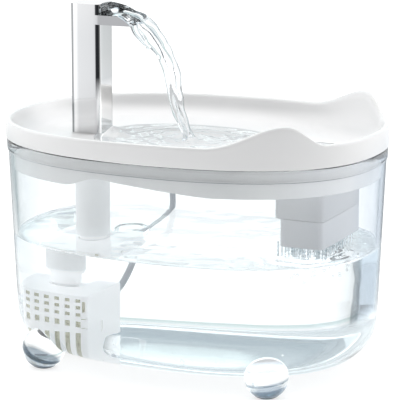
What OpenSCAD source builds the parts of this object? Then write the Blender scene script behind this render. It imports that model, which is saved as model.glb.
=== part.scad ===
// Drinking fountain for pets: a clear water tank on four ball feet, a lift-off
// drinking tray with two raised ears on its rim, a square bright faucet, a
// filter box under the tray and a small submersible pump behind a slotted cover.
// Millimetres. Origin on the floor under the middle of the tank, +X from the
// faucet to the ears, +Y to the back, +Z up.

/* [Tank] */
// Length of the tank at its lip, along X
tank_len = 216; // [206:1:226]
// Width of the tank at its lip, along Y
tank_wid = 156.8; // [148:0.4:166]
// Squareness of the plan outline, 2 is an ellipse
plan_n = 2.375; // [2.2:0.025:2.6]
// Height of the tank's lip over the floor
lip_z = 125.2; // [122:0.1:128]
// Height of the tank's underside over the floor
base_z = 8.8; // [8:0.1:10]
// Wall thickness of the tank
tank_wall = 2.5; // [2:0.1:3]
// Inward lean of the wall for each mm down
draft = 0.042; // [0.03:0.002:0.05]
// Radius of the ball feet
foot_r = 12; // [10:0.5:13]

/* [Tray] */
// Height of the low part of the rim over the lip
rim_h = 12.4; // [10:0.1:15]
// Height of the ears over the low part of the rim
ear_h = 11.3; // [0:0.1:14]
// Depth of the pool under the tray's floor
pool_depth = 6; // [3:0.5:7]

/* [Faucet] */
// Width of the square faucet
faucet_w = 18.2; // [17:0.1:19]
// Height of the faucet's top over the floor
faucet_top = 199.2; // [185:0.1:210]
// How far the spout reaches past the column
spout_len = 20; // [14:0.5:24]

/* [Filter] */
// Length of the filter box across the tank
filter_wid = 57.4; // [50:0.2:60]
// Height of the filter box's underside over the floor
filter_z = 77.7; // [74:0.1:84]

/* [Pump] */
// Depth of the pump cover, along Y
cover_dep = 58; // [52:1:58]
// Columns of slots in the cover's front
slot_cols = 6; // [4:1:6]

/* [Power lead] */
// Diameter of the power lead
lead_d = 3.5; // [3:0.1:3.8]

/* [Hidden] */

ha = tank_len/2;
hb = tank_wid/2;
NP = 96;
// ball feet
foot_x = 68;
foot_y = 55.3;
// tray
floor_z = lip_z + 0.3;          // flat floor of the tray
floor_t = 2.8;                  // its thickness
skirt_off = 3.7;                // skirt inside the tank wall
skirt_t = 2.0;
rim_low = lip_z + rim_h;
pool_x = -8;
pool_a = 42;
pool_b = 28;
// faucet and riser
fx = -65;                       // axis of faucet and riser
col_h = faucet_w/2;
spout_lo = 188;                 // underside of the spout
spout_hi = 193.3;               // top edge of the spout's sides
riser_top = floor_z - floor_t;
// filter box
fb_x0 = 60; fb_x1 = 88; fb_y = filter_wid/2;
fb_step = 93;
// pump
pz = 28.2;                      // height of the impeller's axis
pc_x0 = -84; pc_x1 = -44;       // cover, side to side
pc_y1 = 24;                     // its back edge
pc_y0 = pc_y1 - cover_dep;      // its front
pc_r0 = 7; pc_r1 = 5;           // its front corners
pc_z0 = 12.4; pc_z1 = 41.2;
inner_z = base_z + tank_wall;   // inside floor of the tank
// lead
lr = lead_d/2;
coil_c = [-125.8, 76];          // middle of the stored coil
coil_r = 19.2;                  // middle radius of its turns, five across and two high
coil_pitch = 3.6;

// ---------- shared geometry ----------
function sgp(v, e) = sign(v) * pow(abs(v), e);
// plan outline pulled in by off, at parameter angle t
function plan(off, t) = [(ha - off) * sgp(cos(t), 2/plan_n), (hb - off) * sgp(sin(t), 2/plan_n)];
function ring(off, z) = [for (i = [0:NP-1]) let (p = plan(off, 360*i/NP)) [p[0], p[1], z]];
function lens(cx, a, b, n, z) = [for (i = [0:NP-1]) let (t = 360*i/NP)
    [cx + a*sgp(cos(t), 2/n), b*sgp(sin(t), 2/n), z]];
// closed solid through rings of points, first and last ring capped
module loft(rings, n) {
  m = len(rings);
  polyhedron(
    points = [for (r = rings) for (p = r) p],
    faces = concat(
      [[for (i = [0:n-1]) i]],
      [for (k = [0:m-2]) for (i = [0:n-1]) let (j = (i+1)%n)
        [k*n+i, (k+1)*n+i, (k+1)*n+j]],
      [for (k = [0:m-2]) for (i = [0:n-1]) let (j = (i+1)%n)
        [k*n+i, (k+1)*n+j, k*n+j]],
      [[for (i = [n-1:-1:0]) (m-1)*n+i]]),
    convexity = 8);
}
module rrect(x0, x1, y0, y1, r, f = 48) {
  translate([x0+r, y0]) square([x1-x0-2*r, y1-y0]);
  translate([x0, y0+r]) square([x1-x0, y1-y0-2*r]);
  for (x = [x0+r, x1-r], y = [y0+r, y1-r]) translate([x, y]) circle(r, $fn = f);
}
module rbox(x0, x1, y0, y1, z0, z1, r) {
  translate([0, 0, z0]) linear_extrude(z1-z0) rrect(x0, x1, y0, y1, r);
}
// cylinder along Y from y0 to y1
module cyl_y(x, z, y0, y1, r, f = 64) {
  translate([x, y0, z]) rotate([-90, 0, 0]) cylinder(h = y1-y0, r = r, $fn = f);
}
// unit vectors for the sweep
function unit(v) = v / norm(v);
function dir_at(p, i) = unit(p[min(i+1, len(p)-1)] - p[max(i-1, 0)]);
// frame carried along the path so the tube never twists
function carry(p, i) = i == 0
    ? let (d = dir_at(p, 0), g = abs(d[2]) < 0.9 ? [0,0,1] : [1,0,0]) unit(cross(cross(d, g), d))
    : let (d = dir_at(p, i), u = carry(p, i-1), w = u - d*(u*d)) unit(w);
module sweep_tube(p, r, n = 8) {
  rings = [for (i = [0:len(p)-1]) let (d = dir_at(p, i), u = carry(p, i), v = cross(d, u))
    [for (k = [0:n-1]) p[i] + r*cos(360*k/n)*u + r*sin(360*k/n)*v]];
  m = len(rings);
  polyhedron(
    points = [for (q = rings) for (s = q) s],
    faces = concat(
      [[for (i = [0:n-1]) i]],
      [for (k = [0:m-2]) for (i = [0:n-1]) let (j = (i+1)%n) [k*n+i, (k+1)*n+i, (k+1)*n+j]],
      [for (k = [0:m-2]) for (i = [0:n-1]) let (j = (i+1)%n) [k*n+i, (k+1)*n+j, k*n+j]],
      [[for (i = [n-1:-1:0]) (m-1)*n+i]]),
    convexity = 6);
}

// ---------- tank ----------
function t_off(z) = 0.55 + draft*(lip_z - z);
fil_v = 20; fil_h = 14;         // big rounding under the walls, up and across
function out_fil(k, m) = let (f = 90*k/m, z = base_z + fil_v*(1-cos(f)))
    ring(t_off(z) + fil_h*(1-sin(f)), z);
function in_fil(k, m) = let (f = 90*k/m, z = inner_z + (fil_v-1)*(1-cos(f)))
    ring(t_off(z) + tank_wall + (fil_h-1)*(1-sin(f)), z);

module water_tank() {
  color([0.85, 0.92, 0.95, 0.4])
  difference() {
    loft(concat(
      [for (k = [0:8]) out_fil(k, 8)],
      [ring(t_off(lip_z-6), lip_z-6), ring(draft*5.3, lip_z-5.3), ring(0, lip_z-0.5), ring(0.5, lip_z),
       ring(2.7, lip_z), ring(3.05, lip_z-0.5), ring(t_off(lip_z-7)+tank_wall, lip_z-7)],
      [for (k = [8:-1:0]) in_fil(k, 8)]), NP);
    // notch for the power lead in the back left corner of the lip
    translate([-90.5, 50, 0]) rotate([0, 0, 45]) {
      translate([-2.4, -10, 119.2]) cube([4.8, 20, 20]);
      translate([0, -10, 119.2]) rotate([-90, 0, 0]) cylinder(h = 20, r = 2.4, $fn = 32);
    }
  }
}
// solid of the tank's outer shape near its base
module tank_base() {
  loft(concat([for (k = [0:8]) out_fil(k, 8)], [ring(t_off(60), 60)]), NP);
}
module tank_feet() {
  color([0.85, 0.92, 0.95, 0.4])
  difference() {
    for (sx = [-1, 1], sy = [-1, 1])
      translate([sx*foot_x, sy*foot_y, foot_r-0.5]) sphere(r = foot_r, $fn = 64);
    translate([-100, -80, -20]) cube([200, 160, 20]);
    tank_base();
  }
}

// ---------- tray ----------
function ear(t) = let (s = abs(t > 180 ? t-360 : t), d = s-46, w = d > 0 ? 27 : 17.5)
    abs(d) < w ? 0.5*(1 + cos(180*d/w)) : 0;
// rim ring: f is the share of the way from the underside of the rim to its top
function rim(off, f, dz = 0) = [for (i = [0:NP-1]) let (t = 360*i/NP, p = plan(off, t),
    top = rim_low + 0.0105*p[0] + ear_h*ear(t)) [p[0], p[1], lip_z+1.2 + f*(top-lip_z-1.2) + dz]];
// lower edge of the skirt: deep at the ends, shallow in front of the pool
function skirt_low(x) = x < -46 ? 110 : x < -24 ? 110 + 5.5*0.5*(1-cos(180*(x+46)/22))
    : x < 40 ? 115.5 - 5*(x+24)/64 : 110.5;
function skirt(off) = [for (i = [0:NP-1]) let (p = plan(off, 360*i/NP)) [p[0], p[1], skirt_low(p[0])]];

module drink_tray() {
  color([0.93, 0.93, 0.94])
  difference() {
    loft([
      lens(pool_x, pool_a-6, pool_b-5, 2.2, floor_z-pool_depth-2.4),
      lens(pool_x, pool_a+2, pool_b+2, 2.2, floor_z-pool_depth+0.6),
      lens(pool_x, pool_a+4, pool_b+4, 2.2, floor_z-floor_t),
      ring(skirt_off+skirt_t+0.8, floor_z-floor_t),
      ring(skirt_off+skirt_t, floor_z-floor_t-0.8),
      skirt(skirt_off+skirt_t+0.1),
      skirt(skirt_off+0.1),
      ring(skirt_off, lip_z-0.6),
      ring(skirt_off-0.5, lip_z+0.05),
      ring(1.2, lip_z+0.05),
      ring(1.2, lip_z+1.2),
      rim(-0.3, 0), rim(-0.6, 0.1), rim(-0.6, 0.88), rim(-0.1, 1, -0.5),
      rim(0.8, 1), rim(2.0, 1, -0.1), rim(2.9, 1, -1.1),
      rim(4.2, 0.6), rim(6.0, 0.28), rim(9.0, 0.1, -0.5), ring(13, floor_z),
      lens(pool_x, pool_a+1, pool_b+1, 2.2, floor_z),
      lens(pool_x, pool_a-1.5, pool_b-1.5, 2.2, floor_z-1.2),
      lens(pool_x, pool_a-4, pool_b-3.5, 2.2, floor_z-pool_depth+1.5),
      lens(pool_x, pool_a-8, pool_b-7, 2.2, floor_z-pool_depth)], NP);
    // way for the faucet's plug
    translate([fx, 0, 100]) cylinder(h = 40, r = 8, $fn = 64);
    // drain opening that the grate sits in
    rbox(62, 86, -24, 24, 110, 140, 4);
    // slot for the power lead, open below
    translate([-90.5, 50, 0]) rotate([0, 0, 45]) translate([-4, -9, 100]) cube([8, 18, 22]);
  }
}
module drain_grate() {
  color([0.86, 0.87, 0.88])
  difference() {
    rbox(62.3, 85.7, -23.7, 23.7, riser_top+0.1, floor_z-0.3, 3.7);
    for (y = [-19:4.75:19]) rbox(65, 83, y-1.2, y+1.2, 100, 140, 1.15);
  }
}

// ---------- faucet ----------
module spout_side(x0) {
  // side view of the spout, x to the right and z up
  polygon([[x0, spout_lo], [fx+col_h+spout_len-8, spout_lo], [fx+col_h+spout_len, spout_lo+0.2],
           [fx+col_h+spout_len-3, spout_hi-2.6], [fx+col_h+spout_len-8, spout_hi], [x0, spout_hi]]);
}
module faucet_shell() {
  color([0.82, 0.83, 0.85])
  difference() {
    union() {
      rbox(fx-col_h, fx+col_h, -col_h, col_h, floor_z+0.1, faucet_top, 2.5);
      translate([0, col_h, 0]) rotate([90, 0, 0]) linear_extrude(2*col_h) spout_side(fx+col_h-3);
    }
    // hollow of the column, closed on top
    rbox(fx-col_h+1, fx+col_h-1, -col_h+1, col_h-1, floor_z-5, faucet_top-1, 1.6);
    // window in the face over the spout
    translate([fx, -col_h+1.4, spout_hi-0.3]) cube([col_h+2, 2*col_h-2.8, faucet_top-1.1-spout_hi+0.3]);
    // trough of the spout
    translate([fx, -col_h+1.2, spout_lo+1.2]) cube([col_h+spout_len+5, 2*col_h-2.4, 5]);
    translate([fx+col_h+0.5, -col_h+1.2, spout_lo+1.2]) cube([spout_len, 2*col_h-2.4, 10]);
  }
}
module faucet_duct() {
  color([0.9, 0.9, 0.92])
  difference() {
    union() {
      rbox(fx-col_h+1.2, fx+col_h-1.2, -col_h+1.2, col_h-1.2, floor_z+0.1, spout_lo-0.1, 1.4);
      translate([fx, 0, 108]) cylinder(h = floor_z+1-108, r = 7.93, $fn = 64);
    }
    translate([fx, 0, 100]) cylinder(h = 100, r = 5.2, $fn = 64);
    // groove for the ring seal
    translate([fx, 0, 111]) rotate_extrude($fn = 64) translate([5.9, 0]) square([3, 2.2]);
  }
}
module faucet_seal() {
  color([0.25, 0.25, 0.27])
  translate([fx, 0, 112.1]) rotate_extrude($fn = 64) translate([6.95, 0]) circle(r = 0.98, $fn = 24);
}

// ---------- riser ----------
module riser_tube() {
  color([0.93, 0.93, 0.94])
  difference() {
    translate([fx, 0, 50.5]) cylinder(h = riser_top-50.5, r = 10, $fn = 64);
    translate([fx, 0, 40]) cylinder(h = 100, r = 8, $fn = 64);
  }
}
module riser_coupler() {
  color([0.88, 0.88, 0.9])
  difference() {
    union() {
      translate([fx, 0, 50.5]) mirror([0, 0, 1]) cylinder(h = 1.6, r = 9.2, $fn = 64);
      translate([fx, 0, 42.5]) cylinder(h = 7, r = 7.8, $fn = 64);
      translate([fx, 0, 50]) cylinder(h = 6.5, r = 8, $fn = 64);
    }
    translate([fx, 0, 38]) cylinder(h = 40, r = 6.6, $fn = 64);
  }
}

// ---------- filter box ----------
module filter_housing() {
  color([0.95, 0.95, 0.96])
  difference() {
    rbox(fb_x0, fb_x1, -fb_y, fb_y, fb_step, riser_top, 3);
    rbox(fb_x0+1.8, fb_x1-1.8, -fb_y+1.8, fb_y-1.8, fb_step-1, riser_top-1.6, 1.4);
    rbox(64, 84, -22, 22, 100, 140, 2.5);
  }
}
module filter_basket() {
  color([0.95, 0.95, 0.96])
  difference() {
    union() {
      rbox(fb_x0+3, fb_x1, -fb_y, fb_y, filter_z, fb_step-0.2, 3);
      rbox(fb_x0+3.2, fb_x1-2.1, -fb_y+2.1, fb_y-2.1, fb_step-1, 103, 1.2);
    }
    rbox(fb_x0+4.8, fb_x1-3.6, -fb_y+3.6, fb_y-3.6, filter_z+1.6, 120, 1);
    for (x = [67.5:5:83], y = [-20:10:20]) rbox(x-1.1, x+1.1, y-3.5, y+3.5, 70, 85, 1.05);
  }
}
module filter_cartridge() {
  color([0.9, 0.91, 0.9])
  rbox(fb_x0+5, fb_x1-3.8, -fb_y+3.8, fb_y-3.8, filter_z+1.7, 102, 1);
}

// ---------- pump ----------
module cover_plan(g) {
  // soft corners at the front, square at the back
  translate([pc_x0+pc_r0, pc_y0+g]) square([pc_x1-pc_x0-pc_r0-pc_r1, pc_y1-pc_y0-2*g]);
  translate([pc_x0+g, pc_y0+pc_r0]) square([pc_r0, pc_y1-pc_y0-g-pc_r0]);
  translate([pc_x1-g-pc_r1, pc_y0+pc_r1]) square([pc_r1, pc_y1-pc_y0-g-pc_r1]);
  translate([pc_x0+pc_r0, pc_y0+pc_r0]) circle(pc_r0-g, $fn = 64);
  translate([pc_x1-pc_r1, pc_y0+pc_r1]) circle(pc_r1-g, $fn = 64);
}
module pump_cover() {
  w = pc_x1-pc_x0;
  color([0.95, 0.95, 0.97])
  difference() {
    translate([0, 0, pc_z0]) linear_extrude(pc_z1-pc_z0) cover_plan(0);
    translate([0, 0, pc_z0-1]) linear_extrude(pc_z1-1.8-pc_z0+1) cover_plan(1.8);
    // open at the back
    translate([pc_x0+1.8, pc_y1-10, pc_z0-1]) cube([w-3.6, 20, pc_z1-1.8-pc_z0+1]);
    // slot in the top that passes the outlet
    translate([fx, 0, 35]) cylinder(h = 10, r = 8.6, $fn = 64);
    translate([fx-8.6, 0, 35]) cube([17.2, 40, 10]);
    // small windows in four rows and tall ones below
    for (c = [0:slot_cols-1], z = [37.2, 33.4, 29.3])
      translate([pc_x0+2.4+c*6.2, pc_y0-1, z]) cube([3.2, 6, 2.2]);
    for (c = [0:slot_cols-1])
      translate([pc_x0+2.4+c*6.2, pc_y0-1, 23]) cube([3.2, 6, 3.7]);
    for (c = [0:slot_cols-1])
      translate([pc_x0+2.4+c*6.2, pc_y0-1, 14.6]) cube([3.2, 6, 5.4]);
    // rounded slot on the soft corner, two thin ones under it
    translate([pc_x1-pc_r1, pc_y0+pc_r1, 0]) rotate([0, 0, -45]) {
      translate([1.5, -1.4, 33]) cube([10, 2.8, 5.2]);
      translate([1.5, 0, 33]) rotate([0, 90, 0]) cylinder(h = 10, r = 1.4, $fn = 32);
      for (z = [27.6, 22.4]) translate([1.5, -2, z]) cube([10, 4, 0.8]);
    }
    // small oval in the side
    translate([pc_x1-4, -6, 18]) rotate([0, 90, 0]) cylinder(h = 8, r = 1.2, $fn = 32);
    translate([pc_x1-4, -7.2, 18]) cube([8, 2.4, 5]);
    translate([pc_x1-4, -6, 23]) rotate([0, 90, 0]) cylinder(h = 8, r = 1.2, $fn = 32);
  }
}
module prefilter_sponge() {
  color([0.78, 0.77, 0.68])
  rbox(pc_x0+2.1, pc_x1-2.1, pc_y0+2.1, -12.3, 12.6, 39.2, 4.7);
}
module pump_body() {
  color([0.93, 0.93, 0.95])
  difference() {
    union() {
      // sole under the whole pump
      rbox(-82, -46, -11, 22, 13.6, 15, 3);
      // motor block
      rbox(-82, -46, 7, 22, 13.6, 39, 2);
      // round pump chamber in front of it and its outlet
      cyl_y(fx, pz, -9, 8, 11);
      translate([fx-5, -9, 14]) cube([10, 16, 10]);
      translate([fx, 0, pz]) cylinder(h = 53-pz, r = 6.5, $fn = 64);
    }
    // chamber and rotor well
    cyl_y(fx, pz, -10, 6.6, 9.8);
    cyl_y(fx, pz, 5, 20.4, 6.3);
    // outlet bore
    translate([fx, 0, pz]) cylinder(h = 40, r = 5, $fn = 64);
    // pocket for core and winding, open at the back
    difference() {
      translate([-80, 8.4, 15.2]) cube([32, 20, 22]);
      cyl_y(fx, pz, 5, 21, 7.4);
    }
  }
}
module pump_core() {
  color([0.55, 0.56, 0.58])
  difference() {
    union() {
      translate([-79.5, 11, 16.4]) cube([29, 7, 3.6]);
      translate([-79.5, 11, 16.4]) cube([7.5, 7, 19.6]);
      translate([-58, 11, 16.4]) cube([7.5, 7, 19.6]);
    }
    cyl_y(fx, pz, 5, 25, 7.5);
  }
}
module pump_coil() {
  color([0.72, 0.45, 0.25])
  difference() {
    translate([-71.8, 9, 15.4]) cube([13.6, 11, 5.3]);
    translate([-75, 10.9, 16.3]) cube([20, 7.2, 3.8]);
    cyl_y(fx, pz, 5, 25, 7.5);
  }
}
module pump_back_cap() {
  color([0.9, 0.9, 0.92])
  difference() {
    translate([-79.9, 20.6, 15.3]) cube([31.8, 1.4, 21.8]);
    cyl_y(fx, pz, 15, 21, 7.45);
  }
}
module volute_cover() {
  color([0.9, 0.9, 0.92])
  difference() {
    union() {
      cyl_y(fx, pz, -10.8, -9, 11);
      cyl_y(fx, pz, -9, -8.2, 9.75);
    }
    // inlet ring round the hub that carries the shaft's front end
    difference() {
      cyl_y(fx, pz, -12, -5, 5);
      cyl_y(fx, pz, -13, -4, 2.9);
      for (a = [0:60:179]) translate([fx, 0, pz]) rotate([0, a, 0]) translate([-6, -13, -0.7]) cube([12, 10, 1.4]);
    }
    cyl_y(fx, pz, -9.9, -5, 1.9);
  }
}
module impeller() {
  color([0.3, 0.32, 0.36])
  difference() {
    union() {
      cyl_y(fx, pz, -4, 20, 5.9);
      for (a = [0:60:359]) translate([fx, 0, pz]) rotate([0, a, 0]) translate([0, -6.4, -0.6]) cube([8.6, 8, 1.2]);
    }
    cyl_y(fx, pz, -8, 22, 1.3);
  }
}
module impeller_shaft() {
  color([0.8, 0.8, 0.82])
  cyl_y(fx, pz, -9.4, 20.4, 1.25);
}
module shaft_bushes() {
  color([0.2, 0.2, 0.22])
  difference() {
    cyl_y(fx, pz, -9.9, -7.6, 1.9);
    cyl_y(fx, pz, -9.4, -5, 1.25);
  }
}
module suction_cups() {
  color([0.85, 0.87, 0.88])
  for (p = [[-75, 16], [-53, 16], [-75, -6], [-53, -6]])
    translate([p[0], p[1], inner_z]) rotate_extrude($fn = 48)
      polygon([[0, 0.9], [2, 0.6], [5.4, 0], [5.9, 0], [5.9, 0.3], [3.2, 1.5], [2.4, 2.3], [0, 2.3]]);
}
module cord_gland() {
  color([0.86, 0.86, 0.87])
  translate([-48.5, 22, 35.2]) rotate([-90, 0, 0]) rotate_extrude($fn = 48)
    polygon([[0, 0], [2.4, 0], [2.4, 4], [2.1, 4.6], [2.1, 8], [0, 8]]);
}

// ---------- power lead ----------
// from the pump to the coil; hand-set points, 3.5 mm lead
route = [
  [-48.5, 30, 35.2], [-48.4, 35, 36], [-48, 40.5, 38.8], [-47, 46.5, 44], [-45.8, 52, 50.8],
  [-44.8, 57, 59.2], [-44.2, 60.8, 68], [-44.6, 62.8, 76], [-46.5, 63.6, 84], [-51, 63, 90.5],
  [-57.5, 61, 95], [-65, 57.4, 98.2], [-72, 53.3, 100.8], [-78.2, 49.4, 103.6], [-82.7, 46.6, 107],
  [-84.8, 45.3, 110.6], [-85.6, 44.9, 114.4],
  [-87, 46.5, 117.8], [-90.5, 50, 119.5], [-93.7, 53.2, 118.1], [-95.3, 54.8, 114.4], [-95.5, 55, 108],
  [-95.5, 55, 100], [-95.5, 55, 90], [-95.5, 55, 80], [-95.5, 55, 70], [-95.5, 55, 60], [-95.5, 55, 50],
  [-95.5, 55, 40], [-95.5, 55, 30], [-95.5, 55, 21], [-95.6, 55.2, 14], [-95.8, 56.8, 8],
  [-96.3, 60.4, 3.4], [-97, 65.5, 1.8], [-98, 72, 1.75], [-99.2, 79, 1.75]];
tail = [[-99.4, 77, 5.35], [-99.5, 83, 5.3], [-99.9, 89, 4.8], [-100.7, 95, 3.8], [-102.6, 101.2, 2.7],
        [-106.4, 107, 2.3], [-111.6, 111.2, 2.9], [-118, 112.6, 3.8]];

module power_cord() { color([0.88, 0.88, 0.9]) sweep_tube(route, lr, 8); }
module power_cord_tail() { color([0.88, 0.88, 0.9]) sweep_tube(tail, lr, 8); }
module power_cord_coil() {
  color([0.88, 0.88, 0.9])
  translate([coil_c[0], coil_c[1], 0]) rotate_extrude($fn = 96)
    translate([coil_r-2*coil_pitch-lr, 0]) square([4*coil_pitch+2*lr, coil_pitch+2*lr]);
}
module cord_tie() {
  color([0.9, 0.9, 0.92])
  difference() {
    translate([coil_c[0]-coil_r-2*coil_pitch-lr-0.9, coil_c[1]-3, 0]) cube([4*coil_pitch+2*lr+1.8, 6, coil_pitch+2*lr+0.9]);
    translate([coil_c[0], coil_c[1], -1]) rotate_extrude($fn = 96)
      translate([coil_r-2*coil_pitch-lr, 0]) square([4*coil_pitch+2*lr, coil_pitch+2*lr+1]);
  }
}
module usb_plug_body() {
  color([0.92, 0.92, 0.93])
  union() {
    translate([-124, 112.6, 3.8]) rotate([0, 90, 0]) cylinder(h = 6, r = 2.6, $fn = 32);
    translate([-138, 104.8, 0]) cube([15, 15.6, 7.6]);
  }
}
module usb_plug_shell() {
  color([0.78, 0.78, 0.8])
  translate([-150, 106.6, 1.55]) cube([12, 12, 4.5]);
}

water_tank();
tank_feet();
drink_tray();
drain_grate();
faucet_shell();
faucet_duct();
faucet_seal();
riser_tube();
riser_coupler();
filter_housing();
filter_basket();
filter_cartridge();
pump_cover();
prefilter_sponge();
pump_body();
pump_core();
pump_coil();
pump_back_cap();
volute_cover();
impeller();
impeller_shaft();
shaft_bushes();
suction_cups();
cord_gland();
power_cord();
power_cord_coil();
power_cord_tail();
cord_tie();
usb_plug_body();
usb_plug_shell();
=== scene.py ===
import math
import random

import bmesh
import bpy
from mathutils import Matrix, Vector, noise


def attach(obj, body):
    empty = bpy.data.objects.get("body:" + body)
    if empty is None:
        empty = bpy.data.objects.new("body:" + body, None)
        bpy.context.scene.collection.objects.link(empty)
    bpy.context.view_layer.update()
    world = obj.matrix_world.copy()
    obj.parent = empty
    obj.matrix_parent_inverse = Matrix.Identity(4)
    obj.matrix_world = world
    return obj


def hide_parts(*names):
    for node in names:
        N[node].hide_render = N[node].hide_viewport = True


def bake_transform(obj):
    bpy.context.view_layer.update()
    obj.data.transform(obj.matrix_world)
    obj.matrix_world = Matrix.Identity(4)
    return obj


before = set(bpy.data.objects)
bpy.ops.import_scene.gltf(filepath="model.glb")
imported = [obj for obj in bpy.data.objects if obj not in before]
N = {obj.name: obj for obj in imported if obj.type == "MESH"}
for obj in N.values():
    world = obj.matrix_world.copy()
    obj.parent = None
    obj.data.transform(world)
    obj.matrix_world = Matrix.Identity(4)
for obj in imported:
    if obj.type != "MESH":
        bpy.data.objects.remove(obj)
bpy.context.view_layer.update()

MM = 0.001
scene = bpy.context.scene
scene.view_settings.view_transform = "Standard"
scene.view_settings.look = "None"

# ---------------------------------------------------------------- camera
cam_data = bpy.data.cameras.new("camera")
cam = bpy.data.objects.new("camera", cam_data)
scene.collection.objects.link(cam)
cam.location = (0.58348, -1.23771, 0.39886)
look = Vector((0.0, 0.0, 0.0935)) - Vector(cam.location)
cam.rotation_euler = look.to_track_quat("-Z", "Y").to_euler()
cam_data.sensor_width = 36.0
cam_data.lens = 225.0
cam_data.shift_x = 0.01025
cam_data.shift_y = -0.01
cam_data.clip_end = 50.0
scene.camera = cam


# ---------------------------------------------------------------- helpers
def link(name, mesh):
    o = bpy.data.objects.new(name, mesh)
    scene.collection.objects.link(o)
    return o


def mesh_obj(name, verts, faces, smooth=True, angle=35.0, scale=MM):
    me = bpy.data.meshes.new(name)
    me.from_pydata([(v[0] * scale, v[1] * scale, v[2] * scale) for v in verts], [], faces)
    bm = bmesh.new()
    bm.from_mesh(me)
    bmesh.ops.recalc_face_normals(bm, faces=bm.faces)
    bm.to_mesh(me)
    bm.free()
    me.update()
    if smooth:
        me.shade_smooth()
        me.set_sharp_from_angle(angle=math.radians(angle))
    return link(name, me)


def loft(name, rings, angle=35.0, caps=True, scale=MM):
    n = len(rings[0])
    verts = [p for r in rings for p in r]
    faces = []
    for k in range(len(rings) - 1):
        for i in range(n):
            j = (i + 1) % n
            faces.append((k * n + i, k * n + j, (k + 1) * n + j, (k + 1) * n + i))
    if caps:
        faces.append(tuple(range(n - 1, -1, -1)))
        m = (len(rings) - 1) * n
        faces.append(tuple(m + i for i in range(n)))
    return mesh_obj(name, verts, faces, angle=angle, scale=scale)


def baked(o, name=None, angle=35.0):
    """o with its modifiers applied, as a plain mesh object"""
    dg = bpy.context.evaluated_depsgraph_get()
    me = bpy.data.meshes.new_from_object(o.evaluated_get(dg), depsgraph=dg)
    nm = name or o.name
    old = o.data
    bpy.data.objects.remove(o)
    if old.users == 0:
        bpy.data.meshes.remove(old)
    me.name = nm
    me.shade_smooth()
    me.set_sharp_from_angle(angle=math.radians(angle))
    return link(nm, me)


def boolean(o, tool, op, keep_tool=False):
    m = o.modifiers.new("b", "BOOLEAN")
    m.operation = op
    m.solver = "EXACT"
    m.object = tool
    r = baked(o)
    if not keep_tool:
        bpy.data.objects.remove(tool)
    return r


def box_obj(name, x0, x1, y0, y1, z0, z1):
    v = [(x, y, z) for z in (z0, z1) for y in (y0, y1) for x in (x0, x1)]
    f = [(0, 2, 3, 1), (4, 5, 7, 6), (0, 1, 5, 4), (2, 6, 7, 3), (0, 4, 6, 2), (1, 3, 7, 5)]
    return mesh_obj(name, v, f, smooth=False)


def bevel(o, width=0.4, seg=2, angle=40.0):
    m = o.modifiers.new("edge", "BEVEL")
    m.width = width * MM
    m.segments = seg
    m.limit_method = "ANGLE"
    m.angle_limit = math.radians(angle)
    m.harden_normals = False
    return m


def rr_poly(x0, x1, y0, y1, r, n=8):
    pts = []
    for cx, cy, a0 in ((x1 - r, y1 - r, 0), (x0 + r, y1 - r, 90), (x0 + r, y0 + r, 180), (x1 - r, y0 + r, 270)):
        for k in range(n + 1):
            a = math.radians(a0 + 90.0 * k / n)
            pts.append((cx + r * math.cos(a), cy + r * math.sin(a)))
    return pts


def prism(name, pts, z0, z1):
    rings = [[(p[0], p[1], z0) for p in pts], [(p[0], p[1], z1) for p in pts]]
    return loft(name, rings, angle=35)


def smooth01(t):
    t = max(0.0, min(1.0, t))
    return t * t * (3 - 2 * t)


def catmull(pts, per):
    out = []
    P = [Vector(p) for p in pts]
    P = [P[0] * 2 - P[1]] + P + [P[-1] * 2 - P[-2]]
    for i in range(1, len(P) - 2):
        p0, p1, p2, p3 = P[i - 1], P[i], P[i + 1], P[i + 2]
        for k in range(per):
            t = k / per
            out.append(0.5 * ((2 * p1) + (p2 - p0) * t + (2 * p0 - 5 * p1 + 4 * p2 - p3) * t * t
                              + (3 * p1 - p0 - 3 * p2 + p3) * t * t * t))
    out.append(P[-2])
    return out


noise.seed_set(3)  # the shapes drawn with noise come out the same every time


# ---------------------------------------------------------------- the object's numbers, mm
HA, HB, PN = 108.0, 78.4, 2.375
LIP = 125.2
BASE = 8.8
WALL = 2.5
DRAFT = 0.042
FIL_V, FIL_H = 20.0, 14.0
INNER = BASE + WALL
FLOOR = LIP + 0.3
FLOOR_T = 2.8
SKIRT_OFF, SKIRT_T = 3.7, 2.0
RIM_LOW = LIP + 12.4
EAR_H = 11.3
POOL_X, POOL_A, POOL_B, POOL_D = -8.0, 42.0, 28.0, 6.0
WATER = 71.2


def sgp(v, e):
    return math.copysign(abs(v) ** e, v)


def plan(off, t, n=PN):
    c, s = math.cos(t), math.sin(t)
    return ((HA - off) * sgp(c, 2 / n), (HB - off) * sgp(s, 2 / n))


# even spacing along the outline instead of even parameter steps
def even_params(count):
    fine = 7200
    pts = [plan(0, 2 * math.pi * i / fine) for i in range(fine + 1)]
    acc = [0.0]
    for i in range(fine):
        acc.append(acc[-1] + math.dist(pts[i], pts[i + 1]))
    out = []
    k = 0
    for i in range(count):
        target = acc[-1] * i / count
        while acc[k + 1] < target:
            k += 1
        f = (target - acc[k]) / (acc[k + 1] - acc[k])
        out.append(2 * math.pi * (k + f) / fine)
    return out


NP = 288
TS = even_params(NP)


def ring(off, z):
    return [plan(off, t) + (z,) for t in TS]


def t_off(z):
    return 0.55 + DRAFT * (LIP - z)


def out_fil(f):
    z = BASE + FIL_V * (1 - math.cos(f))
    return ring(t_off(z) + FIL_H * (1 - math.sin(f)), z)


def in_fil(f, grow=0.0):
    z = INNER - grow + (FIL_V - 1) * (1 - math.cos(f))
    return ring(t_off(z) + WALL - grow + (FIL_H - 1) * (1 - math.sin(f)), z)


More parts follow.
